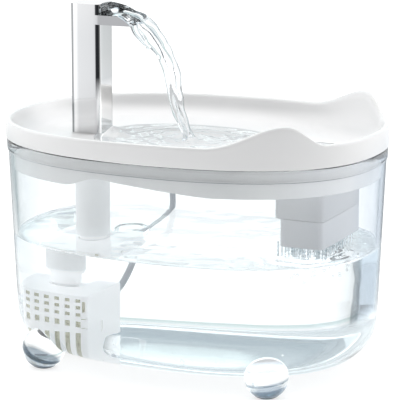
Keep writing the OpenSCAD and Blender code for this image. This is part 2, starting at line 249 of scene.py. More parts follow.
# ---------------------------------------------------------------- power lead
ROUTE = [
    (-48.5, 30, 35.2), (-48.4, 35, 36), (-48, 40.5, 38.8), (-47, 46.5, 44), (-45.8, 52, 50.8),
    (-44.8, 57, 59.2), (-44.2, 60.8, 68), (-44.6, 62.8, 76), (-46.5, 63.6, 84), (-51, 63, 90.5),
    (-57.5, 61, 95), (-65, 57.4, 98.2), (-72, 53.3, 100.8), (-78.2, 49.4, 103.6), (-82.7, 46.6, 107),
    (-84.8, 45.3, 110.6), (-85.6, 44.9, 114.4),
    (-87, 46.5, 117.8), (-90.5, 50, 119.5), (-93.7, 53.2, 118.1), (-95.3, 54.8, 114.4), (-95.5, 55, 108),
    (-95.5, 55, 100), (-95.5, 55, 90), (-95.5, 55, 80), (-95.5, 55, 70), (-95.5, 55, 60), (-95.5, 55, 50),
    (-95.5, 55, 40), (-95.5, 55, 30), (-95.5, 55, 21), (-95.6, 55.2, 14), (-95.8, 56.8, 8),
    (-96.3, 60.4, 3.4), (-97, 65.5, 1.8), (-98, 72, 1.75), (-99.2, 79, 1.75)]
COIL_C = (-125.8, 76.0)
LR = 1.75
# angle in degrees, radius and height of the wound turns: five on the floor from the outside in, five on them
KNOTS = [(7, 26.4, 1.75), (300, 26.4, 1.75), (360, 22.8, 1.75), (660, 22.8, 1.75), (720, 19.2, 1.75), (1020, 19.2, 1.75),
         (1080, 15.6, 1.75), (1380, 15.6, 1.75), (1440, 12.0, 1.75), (1680, 12.0, 1.75), (1740, 12.0, 5.35),
         (1980, 12.0, 5.35), (2040, 15.6, 5.35), (2340, 15.6, 5.35), (2400, 19.2, 5.35), (2700, 19.2, 5.35),
         (2760, 22.8, 5.35), (3060, 22.8, 5.35), (3120, 26.4, 5.35), (3242, 26.4, 5.35)]
TAIL = [(-99.5, 83, 5.3), (-99.9, 89, 4.8), (-100.7, 95, 3.8), (-102.6, 101.2, 2.7),
        (-106.4, 107, 2.3), (-111.6, 111.2, 2.9), (-118, 112.6, 3.8)]


def coil_points(step=7.5):
    pts = []
    for (a0, r0, z0), (a1, r1, z1) in zip(KNOTS, KNOTS[1:]):
        k = max(1, int(round((a1 - a0) / step)))
        for i in range(k):
            f = i / k
            s = smooth01(f)
            a = math.radians(a0 + (a1 - a0) * f)
            r = r0 + (r1 - r0) * s
            pts.append(Vector((COIL_C[0] + r * math.cos(a), COIL_C[1] + r * math.sin(a), z0 + (z1 - z0) * s)))
    return pts


lead = catmull(ROUTE, 4) + coil_points() + catmull([tuple(coil_points()[-1])] + TAIL, 6)[1:]
clean = [lead[0]]
for p in lead[1:]:
    if (p - clean[-1]).length > 0.4:
        clean.append(p)
lead = clean


def tube(name, pts, r, m=12):
    """tube along pts, mm, its frame carried along so that it never twists"""
    rings, u = [], None
    for i, p in enumerate(pts):
        d = (pts[min(i + 1, len(pts) - 1)] - pts[max(i - 1, 0)]).normalized()
        if u is None:
            u = d.cross(Vector((0, 0, 1))).normalized()
        u = (u - d * u.dot(d)).normalized()
        v = d.cross(u)
        rings.append([tuple(p + (u * math.cos(2 * math.pi * k / m) + v * math.sin(2 * math.pi * k / m)) * r) for k in range(m)])
    return loft(name, rings, angle=50)


lead_obj = tube("power_lead", lead, LR)
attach(lead_obj, "tank")
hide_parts("power_cord", "power_cord_coil", "power_cord_tail")


# ---------------------------------------------------------------- materials
def new_mat(name):
    m = bpy.data.materials.new(name)
    m.use_nodes = True
    nt = m.node_tree
    b = nt.nodes["Principled BSDF"]
    return m, nt, b


def noise_node(nt, scale, detail=4.0, rough=0.5):
    tc = nt.nodes.new("ShaderNodeTexCoord")
    n = nt.nodes.new("ShaderNodeTexNoise")
    n.inputs["Scale"].default_value = scale
    n.inputs["Detail"].default_value = detail
    n.inputs["Roughness"].default_value = rough
    nt.links.new(tc.outputs["Object"], n.inputs["Vector"])
    return n


def ramp(nt, src, stops):
    r = nt.nodes.new("ShaderNodeValToRGB")
    els = r.color_ramp.elements
    els[0].position, els[0].color = stops[0][0], stops[0][1] + (1.0,)
    els[1].position, els[1].color = stops[-1][0], stops[-1][1] + (1.0,)
    for p, c in stops[1:-1]:
        e = els.new(p)
        e.color = c + (1.0,)
    nt.links.new(src, r.inputs["Fac"])
    return r.outputs["Color"]


def bump(nt, b, src, strength, dist):
    n = nt.nodes.new("ShaderNodeBump")
    n.inputs["Strength"].default_value = strength
    n.inputs["Distance"].default_value = dist
    nt.links.new(src, n.inputs["Height"])
    nt.links.new(n.outputs["Normal"], b.inputs["Normal"])
    return n


def maprange(nt, src, a, b, c, d):
    n = nt.nodes.new("ShaderNodeMapRange")
    n.inputs["From Min"].default_value = a
    n.inputs["From Max"].default_value = b
    n.inputs["To Min"].default_value = c
    n.inputs["To Max"].default_value = d
    nt.links.new(src, n.inputs["Value"])
    return n.outputs["Result"]


def mth(nt, op, a, b=None, clamp=False):
    n = nt.nodes.new("ShaderNodeMath")
    n.operation = op
    n.use_clamp = clamp
    for k, v in enumerate((a, b)):
        if v is None:
            continue
        if isinstance(v, (int, float)):
            n.inputs[k].default_value = v
        else:
            nt.links.new(v, n.inputs[k])
    return n.outputs[0]


def mixc(nt, f, a, b):
    n = nt.nodes.new("ShaderNodeMix")
    n.data_type = "RGBA"
    if isinstance(f, (int, float)):
        n.inputs["Factor"].default_value = f
    else:
        nt.links.new(f, n.inputs["Factor"])
    for k, v in ((6, a), (7, b)):
        if isinstance(v, tuple):
            n.inputs[k].default_value = v + (1.0,)
        else:
            nt.links.new(v, n.inputs[k])
    return n.outputs[2]


def vdot(nt, v, d):
    n = nt.nodes.new("ShaderNodeVectorMath")
    n.operation = "DOT_PRODUCT"
    nt.links.new(v, n.inputs[0])
    n.inputs[1].default_value = d
    return n.outputs["Value"]


def mulc(nt, a, b):
    n = nt.nodes.new("ShaderNodeMix")
    n.data_type = "RGBA"
    n.blend_type = "MULTIPLY"
    n.inputs["Factor"].default_value = 1.0
    for k, v in ((6, a), (7, b)):
        if isinstance(v, tuple):
            n.inputs[k].default_value = v + (1.0,)
        else:
            nt.links.new(v, n.inputs[k])
    return n.outputs[2]


def plastic(name, col, rough=0.3, var=0.015, grain=1500.0, grain_d=0.00002, spec=0.5, sss=0.0, coat=0.0, glow=0.0):
    m, nt, b = new_mat(name)
    n1 = noise_node(nt, 22.0, 3.0)
    lo = tuple(max(0.0, c - var) for c in col)
    hi = tuple(min(1.0, c + var) for c in col)
    nt.links.new(ramp(nt, n1.outputs["Fac"], [(0.3, lo), (0.7, hi)]), b.inputs["Base Color"])
    n2 = noise_node(nt, grain, 2.0)
    nt.links.new(maprange(nt, n2.outputs["Fac"], 0.3, 0.7, rough - 0.03, rough + 0.03), b.inputs["Roughness"])
    bump(nt, b, n2.outputs["Fac"], 0.25, grain_d)
    b.inputs["IOR"].default_value = 1.49
    b.inputs["Specular IOR Level"].default_value = spec
    if sss:
        b.inputs["Subsurface Weight"].default_value = sss
        b.inputs["Subsurface Radius"].default_value = (0.004, 0.004, 0.004)
        b.inputs["Subsurface Scale"].default_value = 0.5
    # painted light: a white emission makes the part glow though it is no lamp
    if glow:
        b.inputs["Emission Color"].default_value = (1.0, 1.0, 1.0, 1.0)
        b.inputs["Emission Strength"].default_value = glow
    if coat:
        b.inputs["Coat Weight"].default_value = coat
        b.inputs["Coat Roughness"].default_value = 0.08
    return m


DEEP = 7


def clear(name, col, ior, rough=0.0, shadow=(0.97, 0.985, 0.99), wave=0.0, wave_scale=60.0, wave_dist=0.001, wall=False, edge_shade=None):
    m, nt, b = new_mat(name)
    n1 = noise_node(nt, 9.0, 2.0)
    lo = tuple(max(0.0, c - 0.012) for c in col)
    body = ramp(nt, n1.outputs["Fac"], [(0.35, lo), (0.65, col)])
    upright = None
    if wall:
        # painted shade on the thick moulded walls: greyer where they are seen edge on, and a darker tint towards the +X
        # end
        tc = nt.nodes.new("ShaderNodeTexCoord")
        nz = vdot(nt, tc.outputs["Normal"], (0.0, 0.0, 1.0))
        upright = maprange(nt, mth(nt, "ABSOLUTE", nz), 0.2, 0.45, 1.0, 0.0)
        lw = nt.nodes.new("ShaderNodeLayerWeight")
        lw.inputs["Blend"].default_value = 0.5
        high = maprange(nt, vdot(nt, tc.outputs["Object"], (0.0, 0.0, 1.0)), 0.030, 0.042, 0.0, 1.0)
        upright = mth(nt, "MULTIPLY", upright, high)
        edge = ramp(nt, lw.outputs["Facing"], [(0.0, (1.0, 1.0, 1.0)), (0.38, (0.99, 0.99, 0.99)), (0.5, (0.95, 0.955, 0.96)),
                                               (0.65, (0.88, 0.895, 0.90)), (0.8, (0.78, 0.81, 0.82)), (1.0, (0.66, 0.70, 0.72))])
        edge = mixc(nt, upright, (1.0, 1.0, 1.0), edge)
        end = vdot(nt, tc.outputs["Object"], (1.0, 0.0, 0.0))
        end_shade = mixc(nt, mth(nt, "MULTIPLY", maprange(nt, end, 0.070, 0.092, 0.0, 1.0), upright), (1.0, 1.0, 1.0), END_SHADE_TINT)
        body = mulc(nt, mulc(nt, body, edge), end_shade)
    if edge_shade:
        # moving water: painted shade, darker where its surface is seen edge on
        lw = nt.nodes.new("ShaderNodeLayerWeight")
        lw.inputs["Blend"].default_value = 0.5
        body = mulc(nt, body, ramp(nt, lw.outputs["Facing"], edge_shade))
    if wall:
        # painted shade: a dark slate band, by facing, on the +X end of the front wall below the water line, standing in
        # for the deep water's dark edge
        n3 = noise_node(nt, 60.0, 1.0)
        fac = mth(nt, "ADD", lw.outputs["Facing"], maprange(nt, n3.outputs["Fac"], 0.3, 0.7, -0.03, 0.03))
        tint = ramp(nt, fac, [(0.0, (1.0, 1.0, 1.0)), (0.29, (1.0, 1.0, 1.0)), (0.37, (0.82, 0.83, 0.82)), (0.445, (0.60, 0.62, 0.60)),
                              (0.47, (0.15, 0.17, 0.18)), (0.56, (0.13, 0.165, 0.185)), (0.59, (0.60, 0.68, 0.76)),
                              (0.78, (0.68, 0.76, 0.86)), (0.9, (1.0, 1.0, 1.0))])
        slate_shade_mask = mth(nt, "MULTIPLY", maprange(nt, vdot(nt, tc.outputs["Object"], (1.0, 0.0, 0.0)), 0.060, 0.070, 0.0, 1.0),
                    maprange(nt, vdot(nt, tc.outputs["Object"], (0.0, 1.0, 0.0)), 0.012, 0.020, 1.0, 0.0))
        slate_shade_mask = mth(nt, "MULTIPLY", slate_shade_mask, mth(nt, "MULTIPLY", maprange(nt, vdot(nt, tc.outputs["Object"], (0.0, 0.0, 1.0)), 0.0335, 0.0375, 0.0, 1.0),
                    maprange(nt, vdot(nt, tc.outputs["Object"], (0.0, 0.0, 1.0)), 0.0705, 0.0712, 1.0, 0.0)))
        body = mulc(nt, body, mixc(nt, slate_shade_mask, (1.0, 1.0, 1.0), tint))
    if wall:
        # ball feet: painted shade, slate and dark bands round their lower halves, and painted light, emission that
        # makes their domes bright
        ob = nt.nodes.new("ShaderNodeSeparateXYZ")
        nt.links.new(tc.outputs["Object"], ob.inputs["Vector"])
        rx = mth(nt, "SUBTRACT", ob.outputs["X"], mth(nt, "MULTIPLY", mth(nt, "SIGN", ob.outputs["X"]), 0.068))
        ry = mth(nt, "SUBTRACT", ob.outputs["Y"], mth(nt, "MULTIPLY", mth(nt, "SIGN", ob.outputs["Y"]), 0.0553))
        rz = mth(nt, "SUBTRACT", ob.outputs["Z"], 0.0115)
        rr = mth(nt, "ADD", mth(nt, "MULTIPLY", rx, rx), mth(nt, "ADD", mth(nt, "MULTIPLY", ry, ry), mth(nt, "MULTIPLY", rz, rz)))
        ball = mth(nt, "MULTIPLY", mth(nt, "LESS_THAN", rr, 0.0122 ** 2), mth(nt, "GREATER_THAN", rr, 0.0110 ** 2))
        across = mth(nt, "ADD", mth(nt, "MULTIPLY", rx, 0.9045), mth(nt, "MULTIPLY", ry, 0.4264))
        lev = mth(nt, "SUBTRACT", ob.outputs["Z"], mth(nt, "MULTIPLY", across, 0.16))
        painted_foot_bands = ramp(nt, maprange(nt, lev, 0.0, 0.0125, 0.0, 1.0),
                     [(0.0, (0.01, 0.012, 0.016)), (0.08, (0.012, 0.016, 0.02)), (0.12, (0.06, 0.09, 0.12)), (0.36, (0.14, 0.20, 0.26)), (0.5, (0.30, 0.36, 0.44)),
                      (0.54, (1.0, 1.0, 1.0)), (0.70, (1.0, 1.0, 1.0)), (0.73, (0.22, 0.28, 0.33)), (0.80, (0.30, 0.37, 0.43)), (0.85, (1.0, 1.0, 1.0)),
                      (1.0, (1.0, 1.0, 1.0))])
        left = mth(nt, "MULTIPLY", mth(nt, "LESS_THAN", rr, 0.0122 ** 2), mth(nt, "LESS_THAN", ob.outputs["X"], 0.0))
        front = mth(nt, "LESS_THAN", ob.outputs["Y"], 0.0)
        body = mulc(nt, body, mixc(nt, mth(nt, "MULTIPLY", mth(nt, "MULTIPLY", ball, front), mth(nt, "GREATER_THAN", ob.outputs["X"], 0.0)), (1.0, 1.0, 1.0), painted_foot_bands))
        fan = mth(nt, "MULTIPLY", ob.outputs["Z"], mth(nt, "ADD", mth(nt, "MULTIPLY", across, 50.0), 1.0))
        painted_foot_slants = ramp(nt, maprange(nt, fan, 0.0, 0.0125, 0.0, 1.0),
                      [(0.0, (0.02, 0.025, 0.03)), (0.10, (0.02, 0.025, 0.03)), (0.13, (0.07, 0.10, 0.13)), (0.20, (0.09, 0.13, 0.17)), (0.24, (1.0, 1.0, 1.0)),
                       (0.36, (1.0, 1.0, 1.0)), (0.40, (0.09, 0.13, 0.17)), (0.56, (0.10, 0.14, 0.18)), (0.61, (1.0, 1.0, 1.0)), (1.0, (1.0, 1.0, 1.0))])
        body = mulc(nt, body, mixc(nt, mth(nt, "MULTIPLY", left, front), (1.0, 1.0, 1.0), painted_foot_slants))
        # painted light: emission brightens the front feet's domes and pale stripes
        b.inputs["Emission Color"].default_value = (1.0, 1.0, 1.0, 1.0)
        right = mth(nt, "GREATER_THAN", ob.outputs["X"], 0.0)
        dome_glow = mth(nt, "MULTIPLY", mth(nt, "MULTIPLY", ball, right), mth(nt, "MULTIPLY", mth(nt, "ADD", maprange(nt, lev, 0.0108, 0.0125, 0.0, 1.0), maprange(nt, lev, 0.0175, 0.0205, 0.0, 0.9)), front))
        pale_glow = mth(nt, "MULTIPLY", mth(nt, "MULTIPLY", left, front), mth(nt, "MAXIMUM", maprange(nt, fan, 0.0075, 0.0080, 0.0, 0.3),
                   mth(nt, "MULTIPLY", maprange(nt, fan, 0.0029, 0.0033, 0.0, 1.0), maprange(nt, fan, 0.0045, 0.0049, 1.0, 0.0))))
        lit = mth(nt, "ADD", mth(nt, "MULTIPLY", dome_glow, 0.28), mth(nt, "MULTIPLY", pale_glow, 0.22))
        nt.links.new(lit, b.inputs["Emission Strength"])
    nt.links.new(body, b.inputs["Base Color"])
    b.inputs["Transmission Weight"].default_value = 1.0
    b.inputs["Roughness"].default_value = rough
    b.inputs["IOR"].default_value = ior
    if wave:
        n2 = noise_node(nt, wave_scale, 2.0)
        bump(nt, b, n2.outputs["Fac"], wave, wave_dist)
    out = nt.nodes["Material Output"]
    lp = nt.nodes.new("ShaderNodeLightPath")
    tr = nt.nodes.new("ShaderNodeBsdfTransparent")
    tr.inputs["Color"].default_value = shadow + (1.0,)
    mx = nt.nodes.new("ShaderNodeMixShader")
    # light that has already been through many walls goes straight on, so deep corners don't end black
    deep = nt.nodes.new("ShaderNodeMath")
    deep.operation = "GREATER_THAN"
    nt.links.new(lp.outputs["Ray Depth"], deep.inputs[0])
    deep.inputs[1].default_value = DEEP - 0.5
    either = nt.nodes.new("ShaderNodeMath")
    either.operation = "MAXIMUM"
    nt.links.new(lp.outputs["Is Shadow Ray"], either.inputs[0])
    nt.links.new(deep.outputs[0], either.inputs[1])
    nt.links.new(either.outputs[0], mx.inputs["Fac"])
    nt.links.new(b.outputs["BSDF"], mx.inputs[1])
    nt.links.new(tr.outputs["BSDF"], mx.inputs[2])
    last = mx.outputs["Shader"]
    if wall:
        # painted shade: a dark diffuse is mixed in where the upright walls are seen edge on
        rim_shade_diffuse = nt.nodes.new("ShaderNodeBsdfDiffuse")
        rim_shade_diffuse.inputs["Color"].default_value = (0.20, 0.23, 0.25, 1.0)
        mr = nt.nodes.new("ShaderNodeMixShader")
        rf = mth(nt, "MULTIPLY", maprange(nt, lw.outputs["Facing"], 0.76, 0.9, 0.0, 0.6), upright)
        nt.links.new(mth(nt, "MULTIPLY", rf, mth(nt, "SUBTRACT", 1.0, either.outputs[0])), mr.inputs["Fac"])
        nt.links.new(last, mr.inputs[1])
        nt.links.new(rim_shade_diffuse.outputs["BSDF"], mr.inputs[2])
        last = mr.outputs["Shader"]
    nt.links.new(last, out.inputs["Surface"])
    return m


# painted shade: the darker tint at the tank's +X end
END_SHADE_TINT = (0.955, 0.96, 0.975)
M_CLEAR = clear("clear_plastic_mat", (0.962, 0.978, 0.984), 1.49, wall=True)
M_WATER = clear("water_mat", (0.985, 0.995, 0.998), 1.333)
# painted shade: pool, stream and drips are darkened by facing through their edge ramps
M_POOL = clear("pool_water_mat", (0.985, 0.995, 0.998), 1.333,
               edge_shade=[(0.0, (1.0, 1.0, 1.0)), (0.70, (1.0, 1.0, 1.0)), (0.76, (0.92, 0.93, 0.94)), (0.80, (0.76, 0.79, 0.81)),
                      (0.86, (0.46, 0.51, 0.55)), (0.94, (0.26, 0.31, 0.35)), (1.0, (0.2, 0.25, 0.29))])
M_STREAM = clear("stream_mat", (0.99, 0.995, 1.0), 1.333,
                 edge_shade=[(0.0, (0.95, 0.96, 0.97)), (0.14, (0.93, 0.945, 0.95)), (0.30, (0.74, 0.78, 0.79)), (0.48, (0.42, 0.47, 0.49)),
                        (0.7, (0.16, 0.20, 0.22)), (0.9, (0.12, 0.15, 0.17)), (1.0, (0.4, 0.45, 0.47))])
M_DRIP = clear("drip_mat", (0.99, 0.995, 1.0), 1.333,
               edge_shade=[(0.0, (0.9, 0.92, 0.93)), (0.10, (0.85, 0.87, 0.88)), (0.28, (0.42, 0.47, 0.5)), (0.55, (0.12, 0.16, 0.18)), (1.0, (0.06, 0.09, 0.11))])
M_BUBBLE = clear("bubble_mat", (1.0, 1.0, 1.0), 0.75)
M_TRAY = plastic("tray_white", (0.79, 0.79, 0.79), 0.24, 0.006, 1800.0, 0.00001, sss=0.05, coat=0.15)


def painted_glow_below(m):
    """painted light: emission brightens the tray's underside and skirt, most of all at both ends, standing in for light
    coming through the clear tank
    """
    nt = m.node_tree
    b = nt.nodes["Principled BSDF"]
    tc = nt.nodes.new("ShaderNodeTexCoord")
    px = vdot(nt, tc.outputs["Object"], (1.0, 0.0, 0.0))
    pz = vdot(nt, tc.outputs["Object"], (0.0, 0.0, 1.0))
    nz = vdot(nt, tc.outputs["Normal"], (0.0, 0.0, 1.0))
    low = mth(nt, "MULTIPLY", maprange(nt, pz, 0.1263, 0.1252, 0.0, 1.0), maprange(nt, nz, 0.3, 0.1, 0.0, 1.0))
    ends = maprange(nt, mth(nt, "ABSOLUTE", px), 0.050, 0.095, 0.05, 0.20)
    deep = maprange(nt, pz, 0.1205, 0.1165, 0.0, 0.06)
    b.inputs["Emission Color"].default_value = (1.0, 1.0, 1.0, 1.0)
    nt.links.new(mth(nt, "MULTIPLY", low, mth(nt, "ADD", ends, deep)), b.inputs["Emission Strength"])


painted_glow_below(M_TRAY)
# painted light: the inner parts and the pump cover are brighter copies of the white plastic, with a faint white
# emission
M_INNER = plastic("inner_white", (0.93, 0.93, 0.935), 0.35, 0.008, 1500.0, 0.000015, sss=0.05, glow=0.05)
# painted shade: the filter box and basket are darker copies of the white plastic
M_BOX_SHADED = plastic("filter_box_white_painted_shade", (0.77, 0.77, 0.78), 0.35, 0.008, 1500.0, 0.000015, sss=0.05)
M_BASKET_SHADED = plastic("filter_basket_white_painted_shade", (0.84, 0.84, 0.855), 0.35, 0.008, 1500.0, 0.000015, sss=0.05)
M_COVER = plastic("cover_white", (0.94, 0.94, 0.95), 0.33, 0.008, 1500.0, 0.000015, sss=0.05, glow=0.17)
M_GREY = plastic("grate_grey", (0.66, 0.67, 0.68), 0.42, 0.01, 1200.0, 0.00003)
# painted shade: the lead's white jacket is coloured a darker grey-blue for its shade; the cord gland shares it
M_LEAD_SHADED = plastic("lead_jacket_shaded_mat", (0.47, 0.49, 0.53), 0.42, 0.012, 900.0, 0.00003)
M_PLUG = plastic("plug_white", (0.8, 0.8, 0.81), 0.45, 0.01, 2500.0, 0.00004)
M_BLACK = plastic("black_rubber", (0.03, 0.03, 0.032), 0.6, 0.006, 800.0, 0.00004)
M_PAD = plastic("pad_rubber", (0.035, 0.045, 0.06), 0.5, 0.006, 900.0, 0.00003)
M_LINE = plastic("lip_line", (0.30, 0.32, 0.35), 0.4, 0.02, 900.0, 0.00001)
M_ROTOR = plastic("rotor_dark", (0.05, 0.052, 0.06), 0.45, 0.008, 900.0, 0.00002)
M_CUPS = plastic("cup_rubber", (0.72, 0.75, 0.76), 0.4, 0.01, 900.0, 0.00002, sss=0.2)


def metal(name, col, rough, brushed=False):
    m, nt, b = new_mat(name)
    b.inputs["Metallic"].default_value = 1.0
    n1 = noise_node(nt, 60.0 if not brushed else 400.0, 3.0)
    lo = tuple(max(0.0, c - 0.02) for c in col)
    nt.links.new(ramp(nt, n1.outputs["Fac"], [(0.3, lo), (0.7, col)]), b.inputs["Base Color"])
    nt.links.new(maprange(nt, n1.outputs["Fac"], 0.3, 0.7, max(0.0, rough - 0.02), rough + 0.02), b.inputs["Roughness"])
    return m


M_STEEL = metal("plug_steel", (0.7, 0.7, 0.71), 0.22, True)
M_COPPER = metal("winding_copper", (0.72, 0.36, 0.2), 0.3)
M_CORE = metal("core_steel", (0.4, 0.4, 0.42), 0.4, True)


def chrome():
    """bright plate with painted reflections: colour by normal and position makes the narrow corners near black, bands
    bright and faces grey, with a painted glint
    """
    m, nt, b = new_mat("faucet_chrome_mat")
    b.inputs["Metallic"].default_value = 1.0
    tc = nt.nodes.new("ShaderNodeTexCoord")
    sep = nt.nodes.new("ShaderNodeSeparateXYZ")
    nt.links.new(tc.outputs["Normal"], sep.inputs["Vector"])
    mul = nt.nodes.new("ShaderNodeMath")
    mul.operation = "MULTIPLY"
    nt.links.new(sep.outputs["X"], mul.inputs[0])
    nt.links.new(sep.outputs["Y"], mul.inputs[1])
    ab = nt.nodes.new("ShaderNodeMath")
    ab.operation = "MULTIPLY"
    ab.inputs[1].default_value = -1.0
    nt.links.new(mul.outputs[0], ab.inputs[0])
    pos = nt.nodes.new("ShaderNodeSeparateXYZ")
    nt.links.new(tc.outputs["Object"], pos.inputs["Vector"])
    black = ramp(nt, ab.outputs[0], [(0.0, (1.0, 1.0, 1.0)), (0.10, (0.9, 0.9, 0.9)), (0.2, (0.05, 0.052, 0.056)), (0.5, (0.018, 0.02, 0.022))])
    # painted reflection: the dark corner fades towards the foot
    corner = mixc(nt, maprange(nt, pos.outputs["Z"], 0.145, 0.158, 0.93, 0.0), black, (0.95, 0.95, 0.95))
    # front and back faces: painted reflection, a bright band down one side
    across = ramp(nt, maprange(nt, pos.outputs["X"], -0.0741, -0.0559, 0.0, 1.0),
                  [(0.0, (0.5, 0.5, 0.51)), (0.04, (0.6, 0.6, 0.61)), (0.08, (1.0, 1.0, 1.0)), (0.2, (1.0, 1.0, 1.0)), (0.3, (0.74, 0.74, 0.745)),
                   (0.8, (0.70, 0.70, 0.705)), (0.93, (0.62, 0.62, 0.63)), (1.0, (0.42, 0.42, 0.43))])
    # end faces: painted reflection, a bright band near the front corner, lighter towards the foot
    up = ramp(nt, maprange(nt, pos.outputs["Z"], 0.125, 0.2, 0.0, 1.0),
              [(0.0, (0.97, 0.97, 0.97)), (0.35, (0.95, 0.94, 0.93)), (0.42, (0.66, 0.67, 0.67)), (0.6, (0.55, 0.57, 0.575)), (1.0, (0.50, 0.52, 0.53))])
    along = ramp(nt, maprange(nt, pos.outputs["Y"], -0.0091, 0.0091, 0.0, 1.0),
                 [(0.0, (1.0, 1.0, 1.0)), (0.12, (1.0, 1.0, 1.0)), (0.3, (0.9, 0.9, 0.9)), (1.0, (0.82, 0.82, 0.82))])
    ax = nt.nodes.new("ShaderNodeMath")
    ax.operation = "ABSOLUTE"
    nt.links.new(sep.outputs["X"], ax.inputs[0])
    isx = maprange(nt, ax.outputs[0], 0.8, 0.99, 0.0, 1.0)
    ay = maprange(nt, mth(nt, "ABSOLUTE", sep.outputs["Y"]), 0.8, 0.99, 0.0, 1.0)
    col = mixc(nt, isx, (0.9, 0.9, 0.905), mulc(nt, up, along))
    col = mixc(nt, ay, col, across)
    # painted reflection: the narrow left corners, as if seen against the light, stay grey
    grey = ramp(nt, mul.outputs[0], [(0.0, (1.0, 1.0, 1.0)), (0.06, (0.85, 0.85, 0.86)), (0.2, (0.36, 0.37, 0.38)), (0.5, (0.28, 0.29, 0.30))])
    nt.links.new(mulc(nt, mulc(nt, corner, col), grey), b.inputs["Base Color"])
    # painted highlight: emission lights a thin glint strip near the front edge of the end faces
    glint = mth(nt, "MULTIPLY", isx, maprange(nt, pos.outputs["Y"], -0.0062, -0.0068, 0.0, 1.0))
    b.inputs["Emission Color"].default_value = (1.0, 1.0, 1.0, 1.0)
    nt.links.new(mth(nt, "MULTIPLY", glint, 0.34), b.inputs["Emission Strength"])
    n1 = noise_node(nt, 35.0, 2.0)
    nt.links.new(maprange(nt, n1.outputs["Fac"], 0.3, 0.7, 0.04, 0.08), b.inputs["Roughness"])
    return m


M_CHROME = chrome()


def foam():
    m, nt, b = new_mat("foam_sponge")
    tc = nt.nodes.new("ShaderNodeTexCoord")
    v = nt.nodes.new("ShaderNodeTexVoronoi")
    v.inputs["Scale"].default_value = 900.0
    nt.links.new(tc.outputs["Object"], v.inputs["Vector"])
    nt.links.new(ramp(nt, v.outputs["Distance"], [(0.1, (0.40, 0.39, 0.27)), (0.6, (0.66, 0.65, 0.52))]), b.inputs["Base Color"])
    b.inputs["Roughness"].default_value = 0.95
    bump(nt, b, v.outputs["Distance"], 0.8, 0.0004)
    return m


M_FOAM = foam()


def felt():
    m, nt, b = new_mat("filter_felt")
    n1 = noise_node(nt, 700.0, 6.0, 0.7)
    nt.links.new(ramp(nt, n1.outputs["Fac"], [(0.3, (0.7, 0.71, 0.7)), (0.7, (0.88, 0.88, 0.87))]), b.inputs["Base Color"])
    b.inputs["Roughness"].default_value = 0.95
    bump(nt, b, n1.outputs["Fac"], 0.7, 0.0005)
    return m


M_FELT = felt()


def paint(o, m):
    o.data.materials.clear()
    o.data.materials.append(m)


for nm, mt in {"drain_grate": M_GREY, "faucet_duct": M_INNER, "faucet_seal": M_BLACK, "riser_tube": M_INNER,
               "riser_coupler": M_COVER, "filter_housing": M_BOX_SHADED, "filter_basket": M_BASKET_SHADED,
               "filter_cartridge": M_FELT, "pump_cover": M_COVER, "prefilter_sponge": M_FOAM, "pump_body": M_INNER,
               "pump_core": M_CORE, "pump_coil": M_COPPER, "pump_back_cap": M_INNER, "volute_cover": M_INNER,
               "impeller": M_ROTOR, "impeller_shaft": M_STEEL, "shaft_bushes": M_BLACK, "suction_cups": M_CUPS,
               "cord_gland": M_LEAD_SHADED, "cord_tie": M_PLUG, "usb_plug_body": M_PLUG, "usb_plug_shell": M_STEEL,
               "faucet_shell": M_CHROME}.items():
    paint(N[nm], mt)
for nm, w, s in (("filter_housing", 0.5, 3), ("filter_basket", 0.5, 3), ("pump_cover", 0.5, 3), ("usb_plug_body", 1.2, 4),
                 ("usb_plug_shell", 0.3, 2), ("riser_coupler", 0.4, 2), ("riser_tube", 0.3, 2), ("faucet_shell", 0.35, 3),
                 ("pump_body", 0.4, 2), ("cord_tie", 0.2, 2), ("drain_grate", 0.3, 2), ("cord_gland", 0.3, 2)):
    bevel(N[nm], w, s)
    N[nm].data.shade_smooth()
    N[nm].data.set_sharp_from_angle(angle=math.radians(35))
lead_obj.data.materials.append(M_LEAD_SHADED)


# ---------------------------------------------------------------- tank with its feet
def make_tank():
    rings = [out_fil(math.radians(90.0 * k / 20)) for k in range(21)]
    rings += [ring(t_off(z), z) for z in (45, 70, 95, 112, 119.2)]
    rings += [ring(DRAFT * 5.3 + 0.28, 119.5), ring(DRAFT * 5.3 + 0.02, 119.9), ring(DRAFT * 5.0, 120.3),
              ring(0.02, 125.3), ring(0.15, 125.75), ring(0.45, 126.0), ring(0.8, 126.1)]
    outer = loft("tank_shell", rings, angle=40)
    for sx in (-1, 1):
        for sy in (-1, 1):
            bm = bmesh.new()
            bmesh.ops.create_uvsphere(bm, u_segments=72, v_segments=44, radius=12.0)
            for v in bm.verts:
                v.co = Vector((sx * 68, sy * 55.3, 11.5)) + v.co
                if v.co.z < 0:
                    v.co.z = 0.0
            bmesh.ops.remove_doubles(bm, verts=bm.verts, dist=0.001)
            me = bpy.data.meshes.new("foot")
            bm.to_mesh(me)
            bm.free()
            me.transform(Matrix.Scale(MM, 4))
            foot = link("foot", me)
            outer = boolean(outer, foot, "UNION")
    cav = [in_fil(math.radians(90.0 * k / 20)) for k in range(21)]
    cav += [ring(t_off(z) + WALL, z) for z in (45, 70, 95, 112, 121)]
    cav += [ring(3.05, 125.2), ring(2.95, 125.8), ring(2.6, 126.1), ring(2.4, 130)]
    outer = boolean(outer, loft("cavity", cav), "DIFFERENCE")
    nt_ = [(x, z) for x, z in ([(-2.4, 135.0)] + [(2.4 * math.cos(math.radians(a)), 119.2 + 2.4 * math.sin(math.radians(a)))
                                                 for a in range(180, 361, 12)] + [(2.4, 135.0)])]
    d = Vector((-1, 1, 0)).normalized()
    u = Vector((1, 1, 0)).normalized()
    rr = []
    for s in (-10, 10):
        rr.append([tuple(Vector((-90.5, 50, 0)) + d * s + u * x + Vector((0, 0, z))) for x, z in nt_])
    outer = boolean(outer, loft("notch", rr), "DIFFERENCE")
    outer.name = "tank_shell"
    outer.data.set_sharp_from_angle(angle=math.radians(28))
    return outer


tank = make_tank()
paint(tank, M_CLEAR)
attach(tank, "tank")
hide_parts("water_tank", "tank_feet")


